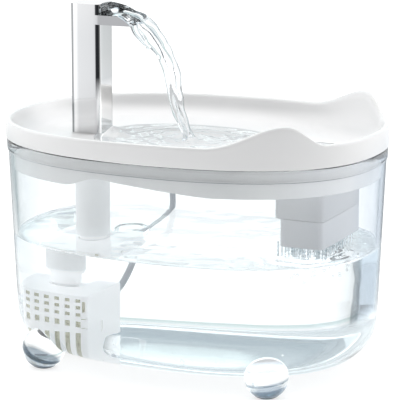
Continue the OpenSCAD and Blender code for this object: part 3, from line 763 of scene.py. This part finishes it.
def make_pads():
    """soft pads let into the flats under the ball feet"""
    bm = bmesh.new()
    prof = [(0.0, 0.0), (3.5, 0.0), (4.25, 0.25), (4.95, 0.5), (5.6, 0.8), (6.2, 1.12), (6.62, 1.4), (6.4, 1.5), (3.0, 1.6), (0.0, 1.6)]
    n = 40
    for sx in (-1, 1):
        for sy in (-1, 1):
            rows = []
            for r, z in prof:
                if r == 0.0:
                    rows.append([bm.verts.new((sx * 68 * MM, sy * 55.3 * MM, z * MM))])
                else:
                    rows.append([bm.verts.new(((sx * 68 + r * math.cos(2 * math.pi * k / n)) * MM,
                                               (sy * 55.3 + r * math.sin(2 * math.pi * k / n)) * MM, z * MM)) for k in range(n)])
            for a, b in zip(rows, rows[1:]):
                for k in range(n):
                    j = (k + 1) % n
                    if len(a) == 1:
                        bm.faces.new((a[0], b[j], b[k]))
                    elif len(b) == 1:
                        bm.faces.new((a[k], a[j], b[0]))
                    else:
                        bm.faces.new((a[k], a[j], b[j], b[k]))
    bmesh.ops.recalc_face_normals(bm, faces=bm.faces)
    me = bpy.data.meshes.new("foot_pads")
    bm.to_mesh(me)
    bm.free()
    me.shade_smooth()
    return link("foot_pads", me)


pads = make_pads()
paint(pads, M_PAD)
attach(pads, "tank")


def make_lip_edge():
    """thin shadow line under the moulded lip"""
    rings = [ring(DRAFT * 5.5 + 0.62, 119.36), ring(DRAFT * 5.5 + 0.28, 119.40), ring(DRAFT * 5.4 + 0.16, 119.72),
             ring(DRAFT * 5.4 + 0.5, 119.76)]
    rings.append(rings[0])
    return loft("lip_edge", rings, caps=False, angle=60)


lip_edge = make_lip_edge()
paint(lip_edge, M_LINE)
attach(lip_edge, "tank")


# ---------------------------------------------------------------- tray
def ear(t):
    d = math.degrees(t)
    if d > 180:
        d -= 360
    d = abs(d) - 46
    w = 27.0 if d > 0 else 17.5
    return 0.5 * (1 + math.cos(math.pi * d / w)) if abs(d) < w else 0.0


def rim(off, f, dz=0.0):
    out = []
    for t in TS:
        x, y = plan(off, t)
        top = RIM_LOW + 0.0105 * x + EAR_H * ear(t)
        out.append((x, y, LIP + 1.2 + f * (top - LIP - 1.2) + dz))
    return out


def skirt_low(x):
    if x < -46:
        return 110.0
    if x < -24:
        return 110 + 5.5 * 0.5 * (1 - math.cos(math.pi * (x + 46) / 22))
    if x < 40:
        return 115.5 - 5 * (x + 24) / 64
    return 110.5


def skirt(off, dz=0.0):
    out = []
    for t in TS:
        x, y = plan(off, t)
        out.append((x, y, skirt_low(x) + dz))
    return out


def lens(cx, a, b, n, z):
    return [(cx + a * sgp(math.cos(t), 2 / n), b * sgp(math.sin(t), 2 / n), z) for t in TS]


def make_tray():
    R = [lens(POOL_X, POOL_A - 6, POOL_B - 5, 2.2, FLOOR - POOL_D - 2.4),
         lens(POOL_X, POOL_A - 2, POOL_B - 1.5, 2.2, FLOOR - POOL_D - 1.2),
         lens(POOL_X, POOL_A + 2, POOL_B + 2, 2.2, FLOOR - POOL_D + 0.9),
         lens(POOL_X, POOL_A + 4, POOL_B + 4, 2.2, FLOOR - FLOOR_T),
         ring(SKIRT_OFF + SKIRT_T + 2.5, FLOOR - FLOOR_T), ring(SKIRT_OFF + SKIRT_T + 0.8, FLOOR - FLOOR_T - 0.3),
         ring(SKIRT_OFF + SKIRT_T, FLOOR - FLOOR_T - 1.4),
         skirt(SKIRT_OFF + SKIRT_T + 0.1, 0.5), skirt(SKIRT_OFF + SKIRT_T - 0.4, 0.0), skirt(SKIRT_OFF + 0.5, 0.0),
         skirt(SKIRT_OFF + 0.1, 0.5),
         ring(SKIRT_OFF, LIP), ring(SKIRT_OFF - 0.2, LIP + 0.6), ring(SKIRT_OFF - 0.5, LIP + 0.98),
         ring(1.2, LIP + 0.98), ring(1.1, LIP + 1.1),
         rim(0.1, 0), rim(-0.3, 0.0, 0.15), rim(-0.5, 0.04), rim(-0.6, 0.1), rim(-0.6, 0.5), rim(-0.6, 0.84),
         rim(-0.5, 0.93), rim(-0.25, 0.97, 0.0), rim(0.15, 1, -0.12), rim(0.6, 1), rim(1.2, 1, 0.02), rim(1.8, 1, -0.12),
         rim(2.35, 1, -0.5), rim(2.8, 1, -1.2), rim(3.3, 0.8), rim(4.1, 0.58), rim(5.0, 0.42, -0.1), rim(6.2, 0.27, -0.2),
         rim(7.6, 0.16, -0.35), rim(9.2, 0.08, -0.5), rim(11.2, 0.03, -0.65), ring(14.5, FLOOR)]
    R += [lens(POOL_X, POOL_A + 2.5, POOL_B + 2.5, 2.2, FLOOR), lens(POOL_X, POOL_A + 1, POOL_B + 1, 2.2, FLOOR - 0.25),
          lens(POOL_X, POOL_A - 0.4, POOL_B - 0.4, 2.2, FLOOR - 0.9), lens(POOL_X, POOL_A - 2, POOL_B - 1.9, 2.2, FLOOR - 2.3),
          lens(POOL_X, POOL_A - 3.6, POOL_B - 3.4, 2.2, FLOOR - 4.0), lens(POOL_X, POOL_A - 5.6, POOL_B - 5.0, 2.2, FLOOR - 5.3),
          lens(POOL_X, POOL_A - 8.5, POOL_B - 7.5, 2.2, FLOOR - 5.9), lens(POOL_X, POOL_A - 12, POOL_B - 11, 2.2, FLOOR - POOL_D)]
    o = loft("tray_shell", R, angle=40)
    hole = prism("hole", [(-65 + 8 * math.cos(2 * math.pi * k / 48), 8 * math.sin(2 * math.pi * k / 48)) for k in range(48)], 100, 140)
    o = boolean(o, hole, "DIFFERENCE")
    o = boolean(o, prism("drain", rr_poly(62, 86, -24, 24, 4), 110, 140), "DIFFERENCE")
    d = Vector((-1, 1, 0)).normalized()
    u = Vector((1, 1, 0)).normalized()
    prof = [(-4, 100), (4, 100), (4, 120)] + [(4 * math.cos(math.radians(a)) * 1.0, 118 + 4 * math.sin(math.radians(a))) for a in range(30, 151, 15)] + [(-4, 120)]
    rr = [[tuple(Vector((-90.5, 50, 0)) + d * s + u * x + Vector((0, 0, z))) for x, z in prof] for s in (-9, 9)]
    o = boolean(o, loft("slot", rr), "DIFFERENCE")
    o.name = "tray_shell"
    o.data.set_sharp_from_angle(angle=math.radians(32))
    return o


tray = make_tray()
paint(tray, M_TRAY)
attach(tray, "tray")
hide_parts("drink_tray")


# ---------------------------------------------------------------- water in the tank
def wave_tank(x, y):
    """height of the water's surface over its mean, mm"""
    h = 0.25 * noise.noise(Vector((x * 0.03, y * 0.05, 1.7))) + 0.12 * noise.noise(Vector((x * 0.09, y * 0.13, 4.1)))
    d = math.hypot((x - 76), (y + 2) * 0.6)
    h += 0.75 * math.exp(-(d / 26.0) ** 2) * math.sin(d * 0.9 + 3 * noise.noise(Vector((x * 0.1, y * 0.1, 9.0))))
    h += 0.5 * math.exp(-(d / 34.0) ** 2) * noise.noise(Vector((x * 0.35, y * 0.35, 2.0)))
    return h


def make_water():
    g = 0.45
    rings = [in_fil(math.radians(90.0 * k / 16), g) for k in range(17)]
    rings += [ring(t_off(z) + WALL - g, z) for z in (45, 60, 68)]
    # small climb of the surface at the wall
    rings += [ring(t_off(WATER + 0.9) + WALL - g, WATER + 0.9)]
    for off, dz in ((WALL + 0.05, 0.88), (WALL + 0.5, 0.5), (WALL + 1.2, 0.22), (WALL + 2.4, 0.05), (WALL + 4.5, 0.0)):
        o = t_off(WATER) + off
        rings.append([(x, y, WATER + dz + wave_tank(x, y)) for x, y, z in ring(o, 0)])
    base = t_off(WATER) + WALL
    for k in range(1, 46):
        f = k / 46.0
        rings.append([(x, y, WATER + wave_tank(x, y)) for x, y in
                      [((1 - f) * p[0], (1 - f) * p[1]) for p in [plan(base + 4.5, t) for t in TS]]])
    # last ring is small: close it with a fan
    o = loft("tank_water", rings, angle=60)
    return o


water = make_water()
paint(water, M_WATER)
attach(water, "tank")


# ---------------------------------------------------------------- water in the tray
def wave_pool(x, y):
    w = noise.noise(Vector((x * 0.07, y * 0.09, 3.0)))
    d = math.hypot(x + 4 + 3 * w, y * 1.15 + 3 * noise.noise(Vector((x * 0.06, y * 0.06, 8.0))))
    # rings run out from where the water lands, broken up by chop
    h = 1.0 * math.exp(-d / 24.0) * math.sin(d * 0.66 + 2.2 * w)
    h += 0.45 * math.exp(-(d / 36.0) ** 2) * noise.noise(Vector((x * 0.22, y * 0.30, 0.0)))
    h += 0.30 * noise.noise(Vector((x * 0.11, y * 0.16, 5.0)))
    h += 1.1 * math.exp(-(d / 4.5) ** 2)
    # water piles up against the faucet's foot
    h += 4.6 * math.exp(-((x + 49.5) / 5.2) ** 2 - ((y + 5) / 6.0) ** 2)
    h += 1.6 * math.exp(-((x + 41) / 3.4) ** 2 - ((y + 9) / 4.5) ** 2)
    return h


def make_pool():
    top = FLOOR + 0.55
    # over the pool and a film on the floor round it
    A, B, cx = POOL_A + 12, POOL_B + 13, POOL_X + 3
    rings = []
    n = len(TS)
    for a, b, z in ((A - 1.2, B - 1.2, FLOOR - 0.25), (A, B, FLOOR + 0.05)):
        rings.append([(cx + a * sgp(math.cos(t), 2 / 2.2), b * sgp(math.sin(t), 2 / 2.2), z) for t in TS])
    rings.append([(cx + (A - 0.7) * sgp(math.cos(t), 2 / 2.2), (B - 0.7) * sgp(math.sin(t), 2 / 2.2), top - 0.1) for t in TS])
    for k in range(0, 40):
        f = 1 - (k + 0.6) / 40.6
        rr = []
        for t in TS:
            x = cx + (A - 1.4) * f * sgp(math.cos(t), 2 / 2.2)
            y = (B - 1.4) * f * sgp(math.sin(t), 2 / 2.2)
            edge = smooth01((1 - f) * 6)
            rr.append((x, y, top + wave_pool(x, y) * edge))
        rings.append(rr)
    # underside follows the pool, a little inside the tray's surface
    def under(a, b, z):
        return [(POOL_X + a * sgp(math.cos(t), 2 / 2.2), b * sgp(math.sin(t), 2 / 2.2), z) for t in TS]
    low = [under(POOL_A - 12, POOL_B - 11, FLOOR - POOL_D - 0.3), under(POOL_A - 7.8, POOL_B - 6.8, FLOOR - 6.1),
           under(POOL_A - 4.6, POOL_B - 4.2, FLOOR - 5.4), under(POOL_A - 2.8, POOL_B - 2.7, FLOOR - 4.0),
           under(POOL_A - 1.2, POOL_B - 1.2, FLOOR - 2.3), under(POOL_A + 0.6, POOL_B + 0.5, FLOOR - 1.1),
           under(POOL_A + 2.5, POOL_B + 2.4, FLOOR - 0.5)]
    return loft("tray_water", low + rings, angle=60)


pool = make_pool()
paint(pool, M_POOL)
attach(pool, "tray")


# ---------------------------------------------------------------- falling stream
def make_stream():
    """a sheet that leaves the spout whole, folds into two ropes that cross like a chain, and lands in the pool"""
    # centre x, z, half width across (y), half thickness in the fall's plane
    S = [(-60, 193.6, 6.6, 3.3), (-55, 194.7, 7.0, 4.2), (-50, 195.2, 7.2, 4.6), (-45, 194.7, 7.0, 4.9),
         (-40.2, 193.2, 6.8, 5.2), (-35.4, 190.7, 6.4, 5.3), (-30.6, 187.2, 6.0, 5.2), (-26.1, 182.6, 5.7, 5.0),
         (-22.2, 177.4, 5.4, 4.9), (-18.6, 172.0, 5.1, 4.9), (-15.9, 166.2, 5.0, 4.9), (-14.2, 160.2, 4.9, 4.7),
         (-13.4, 154.0, 4.7, 4.4), (-12.2, 147.8, 4.3, 4.1), (-10.6, 141.8, 3.9, 3.8), (-8.6, 136.2, 3.5, 3.4),
         (-6.4, 131.0, 3.2, 3.1), (-4.6, 127.4, 3.9, 3.7), (-3.9, 125.0, 5.2, 4.8)]
    P = catmull([(a[0], 0, a[1]) for a in S], 7)
    W = catmull([(a[2], a[3], 0) for a in S], 7)
    last = len(P) - 1
    parts = []

    def frame_at(i):
        d = (P[min(i + 1, last)] - P[max(i - 1, 0)]).normalized()
        side = Vector((0, 1, 0))
        return side, d.cross(side).normalized()

    # two ropes
    for phase in (0.0, math.pi):
        rings = []
        m = 22
        for i, p in enumerate(P):
            side, nor = frame_at(i)
            run = i / last
            w, h, _ = W[i]
            open_ = smooth01(run * 3.2)
            th = phase - 0.6 + run * 1.75
            c = p + nor * (math.cos(th) * h * 0.62 * open_) + side * (math.sin(th) * w * 0.62)
            ra = (0.46 + 0.10 * math.sin(run * 23 + phase)) * w * (1.15 - 0.25 * open_)
            rb = (0.42 + 0.10 * math.sin(run * 19 + phase * 2)) * h * (1.3 - 0.45 * open_)
            r = []
            for k in range(m):
                a = 2 * math.pi * k / m
                v = c + side * (ra * math.cos(a)) + nor * (rb * math.sin(a))
                nn = noise.noise_vector(Vector((v.x * 0.20, v.y * 0.26, v.z * 0.13 + phase)))
                r.append(tuple(v + nn * (0.3 + 0.5 * open_)))
            rings.append(r)
        parts.append(loft("rope", rings, angle=180))
    # the sheet between them, thin in the middle
    rings = []
    m = 36
    for i, p in enumerate(P):
        side, nor = frame_at(i)
        run = i / last
        w, h, _ = W[i]
        open_ = smooth01(run * 3.2)
        th = -0.6 + run * 1.75
        e = (nor * (math.cos(th) * h) + side * (math.sin(th) * w)).normalized()
        f = (nor * (-math.sin(th)) + side * math.cos(th)).normalized()
        half = (0.95 - 0.30 * open_) * (abs(math.cos(th)) * h + abs(math.sin(th)) * w)
        thin = (1.0 - open_) * min(w, h) * 0.85 + open_ * 0.75
        r = []
        for k in range(m):
            a = 2 * math.pi * k / m
            v = p + e * (half * math.cos(a)) + f * (thin * math.sin(a))
            nn = noise.noise_vector(Vector((v.x * 0.15, v.y * 0.2, v.z * 0.11 + 9)))
            r.append(tuple(v + nn * (0.25 + 0.3 * open_)))
        rings.append(r)
    parts.append(loft("sheet", rings, angle=180))
    # a short rope torn off the sheet's lower edge
    Q = catmull([(-39.5, -2.5, 190.6), (-37.0, -3.0, 187.6), (-35.2, -3.2, 184.2), (-32.2, -3.0, 180.8), (-29.4, -2.8, 177.4), (-28.2, -2.6, 174.6)], 7)
    rings = []
    for i, p in enumerate(Q):
        d = (Q[min(i + 1, len(Q) - 1)] - Q[max(i - 1, 0)]).normalized()
        side = Vector((0, 1, 0))
        nor = d.cross(side).normalized()
        f = i / (len(Q) - 1)
        ra = 2.5 * (1 - f) ** 0.6 + 0.25
        rings.append([tuple(p + side * (ra * 1.25 * math.cos(2 * math.pi * k / 20)) + nor * (ra * 0.75 * math.sin(2 * math.pi * k / 20))
                            + noise.noise_vector(Vector((p.x * 0.2, p.z * 0.2, k * 0.12))) * 0.4) for k in range(20)])
    parts.append(loft("torn", rings, angle=180))
    bm = bmesh.new()
    for q in parts:
        bm.from_mesh(q.data)
        me = q.data
        bpy.data.objects.remove(q)
        bpy.data.meshes.remove(me)
    me = bpy.data.meshes.new("falling_stream")
    bm.to_mesh(me)
    bm.free()
    o = link("falling_stream", me)
    # one skin round all three, then smoothed
    rm = o.modifiers.new("skin", "REMESH")
    rm.mode = "VOXEL"
    rm.voxel_size = 0.00042
    sm = o.modifiers.new("smooth", "SMOOTH")
    sm.factor = 0.5
    sm.iterations = 5
    return baked(o, "falling_stream", angle=180)


stream = make_stream()
paint(stream, M_STREAM)
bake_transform(stream)


# ---------------------------------------------------------------- drips under the filter box
def make_drips():
    rnd = random.Random(7)
    bm = bmesh.new()
    for x in (62, 66, 70, 74, 78, 82, 86):
        for y in (-24, -19, -14, -8, -2, 4, 10, 16, 22):
            for s in range(2):
                px = x + rnd.uniform(-1.6, 1.6)
                py = y + rnd.uniform(-2.2, 2.2)
                r0 = rnd.uniform(0.28, 0.5)
                zs = [79.0 - 0.35 * k for k in range(24)]
                prev = None
                first = None
                for k, z in enumerate(zs):
                    r = r0 * (0.75 + 0.45 * math.sin(z * 1.3 + px * 3) ** 2) * (1.6 if k == len(zs) - 1 else 1.0)
                    ringv = [bm.verts.new(((px + r * math.cos(2 * math.pi * j / 8)) * MM,
                                           (py + r * math.sin(2 * math.pi * j / 8)) * MM, z * MM)) for j in range(8)]
                    if prev:
                        for j in range(8):
                            bm.faces.new((prev[j], prev[(j + 1) % 8], ringv[(j + 1) % 8], ringv[j]))
                    else:
                        first = ringv
                    prev = ringv
                bm.faces.new(list(reversed(first)))
                bm.faces.new(prev)
    bmesh.ops.recalc_face_normals(bm, faces=bm.faces)
    me = bpy.data.meshes.new("filter_drips")
    bm.to_mesh(me)
    bm.free()
    me.shade_smooth()
    return link("filter_drips", me)


drips = make_drips()
paint(drips, M_DRIP)
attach(drips, "filter_basket")


# ---------------------------------------------------------------- bubbles
def make_bubbles():
    rnd = random.Random(11)
    bm = bmesh.new()
    spots = []
    for k in range(16):
        spots.append((rnd.uniform(-20, 75), rnd.uniform(12.5, 24), rnd.uniform(0.35, 0.75)))
    for x, z, r in spots:
        # just inside the front wall
        u = (z - INNER) / (FIL_V - 1)
        ex = (FIL_H - 1) * (1 - math.sqrt(max(0.0, 1 - (1 - min(1.0, u)) ** 2)))
        off = t_off(z) + WALL + ex + r + 0.6
        a, b = HA - off, HB - off
        if abs(x) >= a:
            continue
        y = -b * (1 - (abs(x) / a) ** PN) ** (1 / PN)
        mt = Matrix.Translation(Vector((x, y + 0.5, z)) * MM)
        bmesh.ops.create_icosphere(bm, subdivisions=3, radius=r * MM, matrix=mt)
    for k in range(40):
        x = rnd.gauss(76, 7)
        y = rnd.gauss(-2, 14)
        z = WATER - abs(rnd.gauss(0, 5)) - 1.5
        r = rnd.uniform(0.3, 0.9)
        bmesh.ops.create_icosphere(bm, subdivisions=3, radius=r * MM, matrix=Matrix.Translation(Vector((x, y, z)) * MM))
    me = bpy.data.meshes.new("water_bubbles")
    bm.to_mesh(me)
    bm.free()
    me.shade_smooth()
    return link("water_bubbles", me)


bubbles = make_bubbles()
paint(bubbles, M_BUBBLE)
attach(bubbles, "tank")


# ---------------------------------------------------------------- stage and light
def make_floor():
    me = bpy.data.meshes.new("floor")
    me.from_pydata([(-9, -9, 0), (9, -9, 0), (9, 9, 0), (-9, 9, 0)], [], [(0, 1, 2, 3)])
    o = link("floor", me)
    m, nt, b = new_mat("floor_mat")
    tc = nt.nodes.new("ShaderNodeTexCoord")
    n1 = noise_node(nt, 3.0, 2.0)
    base = ramp(nt, n1.outputs["Fac"], [(0.3, (0.94, 0.94, 0.94)), (0.7, (0.96, 0.96, 0.96))])
    # painted shade: the floor grows greyer and bluer to both sides and to the front
    P = tc.outputs["Object"]
    u = vdot(nt, P, (0.9045, 0.4264, 0.0))
    v = vdot(nt, P, (-0.4264, 0.9045, 0.0))
    wide = mth(nt, "ADD", mth(nt, "MULTIPLY", mth(nt, "MAXIMUM", v, 0.0), 0.08), 0.118)
    out_r = mth(nt, "SUBTRACT", u, wide)
    out_l = mth(nt, "SUBTRACT", mth(nt, "MULTIPLY", u, -1.0), wide)
    behind = maprange(nt, v, -0.02, 0.08, 0.0, 1.0)
    near = maprange(nt, mth(nt, "MAXIMUM", mth(nt, "ABSOLUTE", u), mth(nt, "ABSOLUTE", v)), 0.45, 0.75, 1.0, 0.0)
    behind = mth(nt, "MULTIPLY", behind, near)
    c = mixc(nt, mth(nt, "MULTIPLY", maprange(nt, out_r, 0.012, 0.07, 0.0, 1.0), behind), base, FLOOR_RIGHT_SHADE)
    c = mixc(nt, mth(nt, "MULTIPLY", maprange(nt, out_l, 0.05, 0.17, 0.0, 1.0), behind), c, FLOOR_LEFT_SHADE)
    ahead = mth(nt, "MULTIPLY", maprange(nt, v, -0.38, -0.44, 0.0, 1.0), maprange(nt, v, -1.2, -1.5, 1.0, 0.0))
    ahead = mth(nt, "MULTIPLY", ahead, maprange(nt, mth(nt, "ABSOLUTE", u), 1.0, 1.3, 1.0, 0.0))
    c = mixc(nt, ahead, c, FLOOR_FRONT_SHADE)
    # a light table: half of its light is its own, so shadows on it stay pale
    half = nt.nodes.new("ShaderNodeMix")
    half.data_type = "RGBA"
    half.blend_type = "MULTIPLY"
    half.inputs["Factor"].default_value = 1.0
    half.inputs[7].default_value = (0.4, 0.4, 0.4, 1.0)
    nt.links.new(c, half.inputs[6])
    nt.links.new(half.outputs[2], b.inputs["Base Color"])
    nt.links.new(c, b.inputs["Emission Color"])
    b.inputs["Emission Strength"].default_value = 0.77
    b.inputs["Roughness"].default_value = 0.9
    b.inputs["Specular IOR Level"].default_value = 0.0
    me.materials.append(m)


# painted shade on the floor to the right, left and front
FLOOR_RIGHT_SHADE = (0.64, 0.69, 0.75)
FLOOR_LEFT_SHADE = (0.46, 0.51, 0.52)
FLOOR_FRONT_SHADE = (0.82, 0.83, 0.84)
make_floor()

world = bpy.data.worlds.new("studio")
scene.world = world
world.use_nodes = True
wn = world.node_tree
bg = wn.nodes["Background"]
tc = wn.nodes.new("ShaderNodeTexCoord")
DIR = tc.outputs["Generated"]
toward = vdot(wn, DIR, (0.4264, -0.9045, 0.0))      # 1 on the side the light tent is closed with grey cloth
height = vdot(wn, DIR, (0.0, 0.0, 1.0))
# cloth behind the object, by height: pale, a seam, pale, blue grey, dark, then the bright roof
back = ramp(wn, height, [(0.0, (0.62, 0.73, 0.72)), (0.05, (0.74, 0.87, 0.86)), (0.10, (1.05, 1.05, 1.05)), (0.155, (1.05, 1.06, 1.06)),
                         (0.175, (0.70, 0.76, 0.80)), (0.215, (0.70, 0.76, 0.80)), (0.235, (0.98, 1.05, 1.08)), (0.34, (0.95, 1.04, 1.08)), (0.40, (0.66, 0.75, 0.80)), (0.56, (0.62, 0.71, 0.76)),
                         (0.62, (0.95, 0.98, 1.0)), (0.735, (0.95, 0.98, 1.0)), (0.75, (0.26, 0.33, 0.38)), (0.82, (0.27, 0.35, 0.40)),
                         (0.855, (0.55, 0.64, 0.69)), (0.88, (1.0, 1.03, 1.05)), (0.92, (1.4, 1.4, 1.4))])
# a bright softbox low behind the object
wu = vdot(wn, DIR, (0.9045, 0.4264, 0.0))
bx = mth(wn, "MULTIPLY", maprange(wn, wu, -0.20, -0.12, 0.0, 1.0), maprange(wn, wu, 0.17, 0.13, 0.0, 1.0))
bx = mth(wn, "MULTIPLY", bx, mth(wn, "MULTIPLY", maprange(wn, height, 0.215, 0.235, 0.0, 1.0), maprange(wn, height, 0.31, 0.295, 0.0, 1.0)))
back = mixc(wn, bx, back, (1.55, 1.74, 1.72))
side = ramp(wn, height, [(0.0, (2.35, 2.35, 2.37)), (0.10, (2.35, 2.35, 2.37)), (0.7, (2.25, 2.25, 2.25)), (0.9, (1.5, 1.5, 1.5))])
front = ramp(wn, height, [(0.0, (0.07, 0.072, 0.076)), (0.5, (0.07, 0.072, 0.076)), (0.75, (0.5, 0.5, 0.5)), (1.0, (1.3, 1.3, 1.3))])
c1 = mixc(wn, maprange(wn, toward, 0.1, 0.5, 0.0, 1.0), side, front)
c2 = mixc(wn, maprange(wn, toward, -0.35, -0.6, 0.0, 1.0), c1, back)
wn.links.new(c2, bg.inputs["Color"])
bg.inputs["Strength"].default_value = 1.0


def area(name, loc, target, size, power, col=(1, 1, 1)):
    d = bpy.data.lights.new(name, "AREA")
    d.shape = "RECTANGLE"
    d.size, d.size_y = size
    d.energy = power
    d.color = col
    o = bpy.data.objects.new(name, d)
    scene.collection.objects.link(o)
    o.location = loc
    o.rotation_euler = (Vector(target) - Vector(loc)).to_track_quat("-Z", "Y").to_euler()
    return o


area("top", (0.0, 0.2, 2.2), (0, 0, 0.1), (2.4, 2.4), 13.5)

bpy.context.view_layer.update()
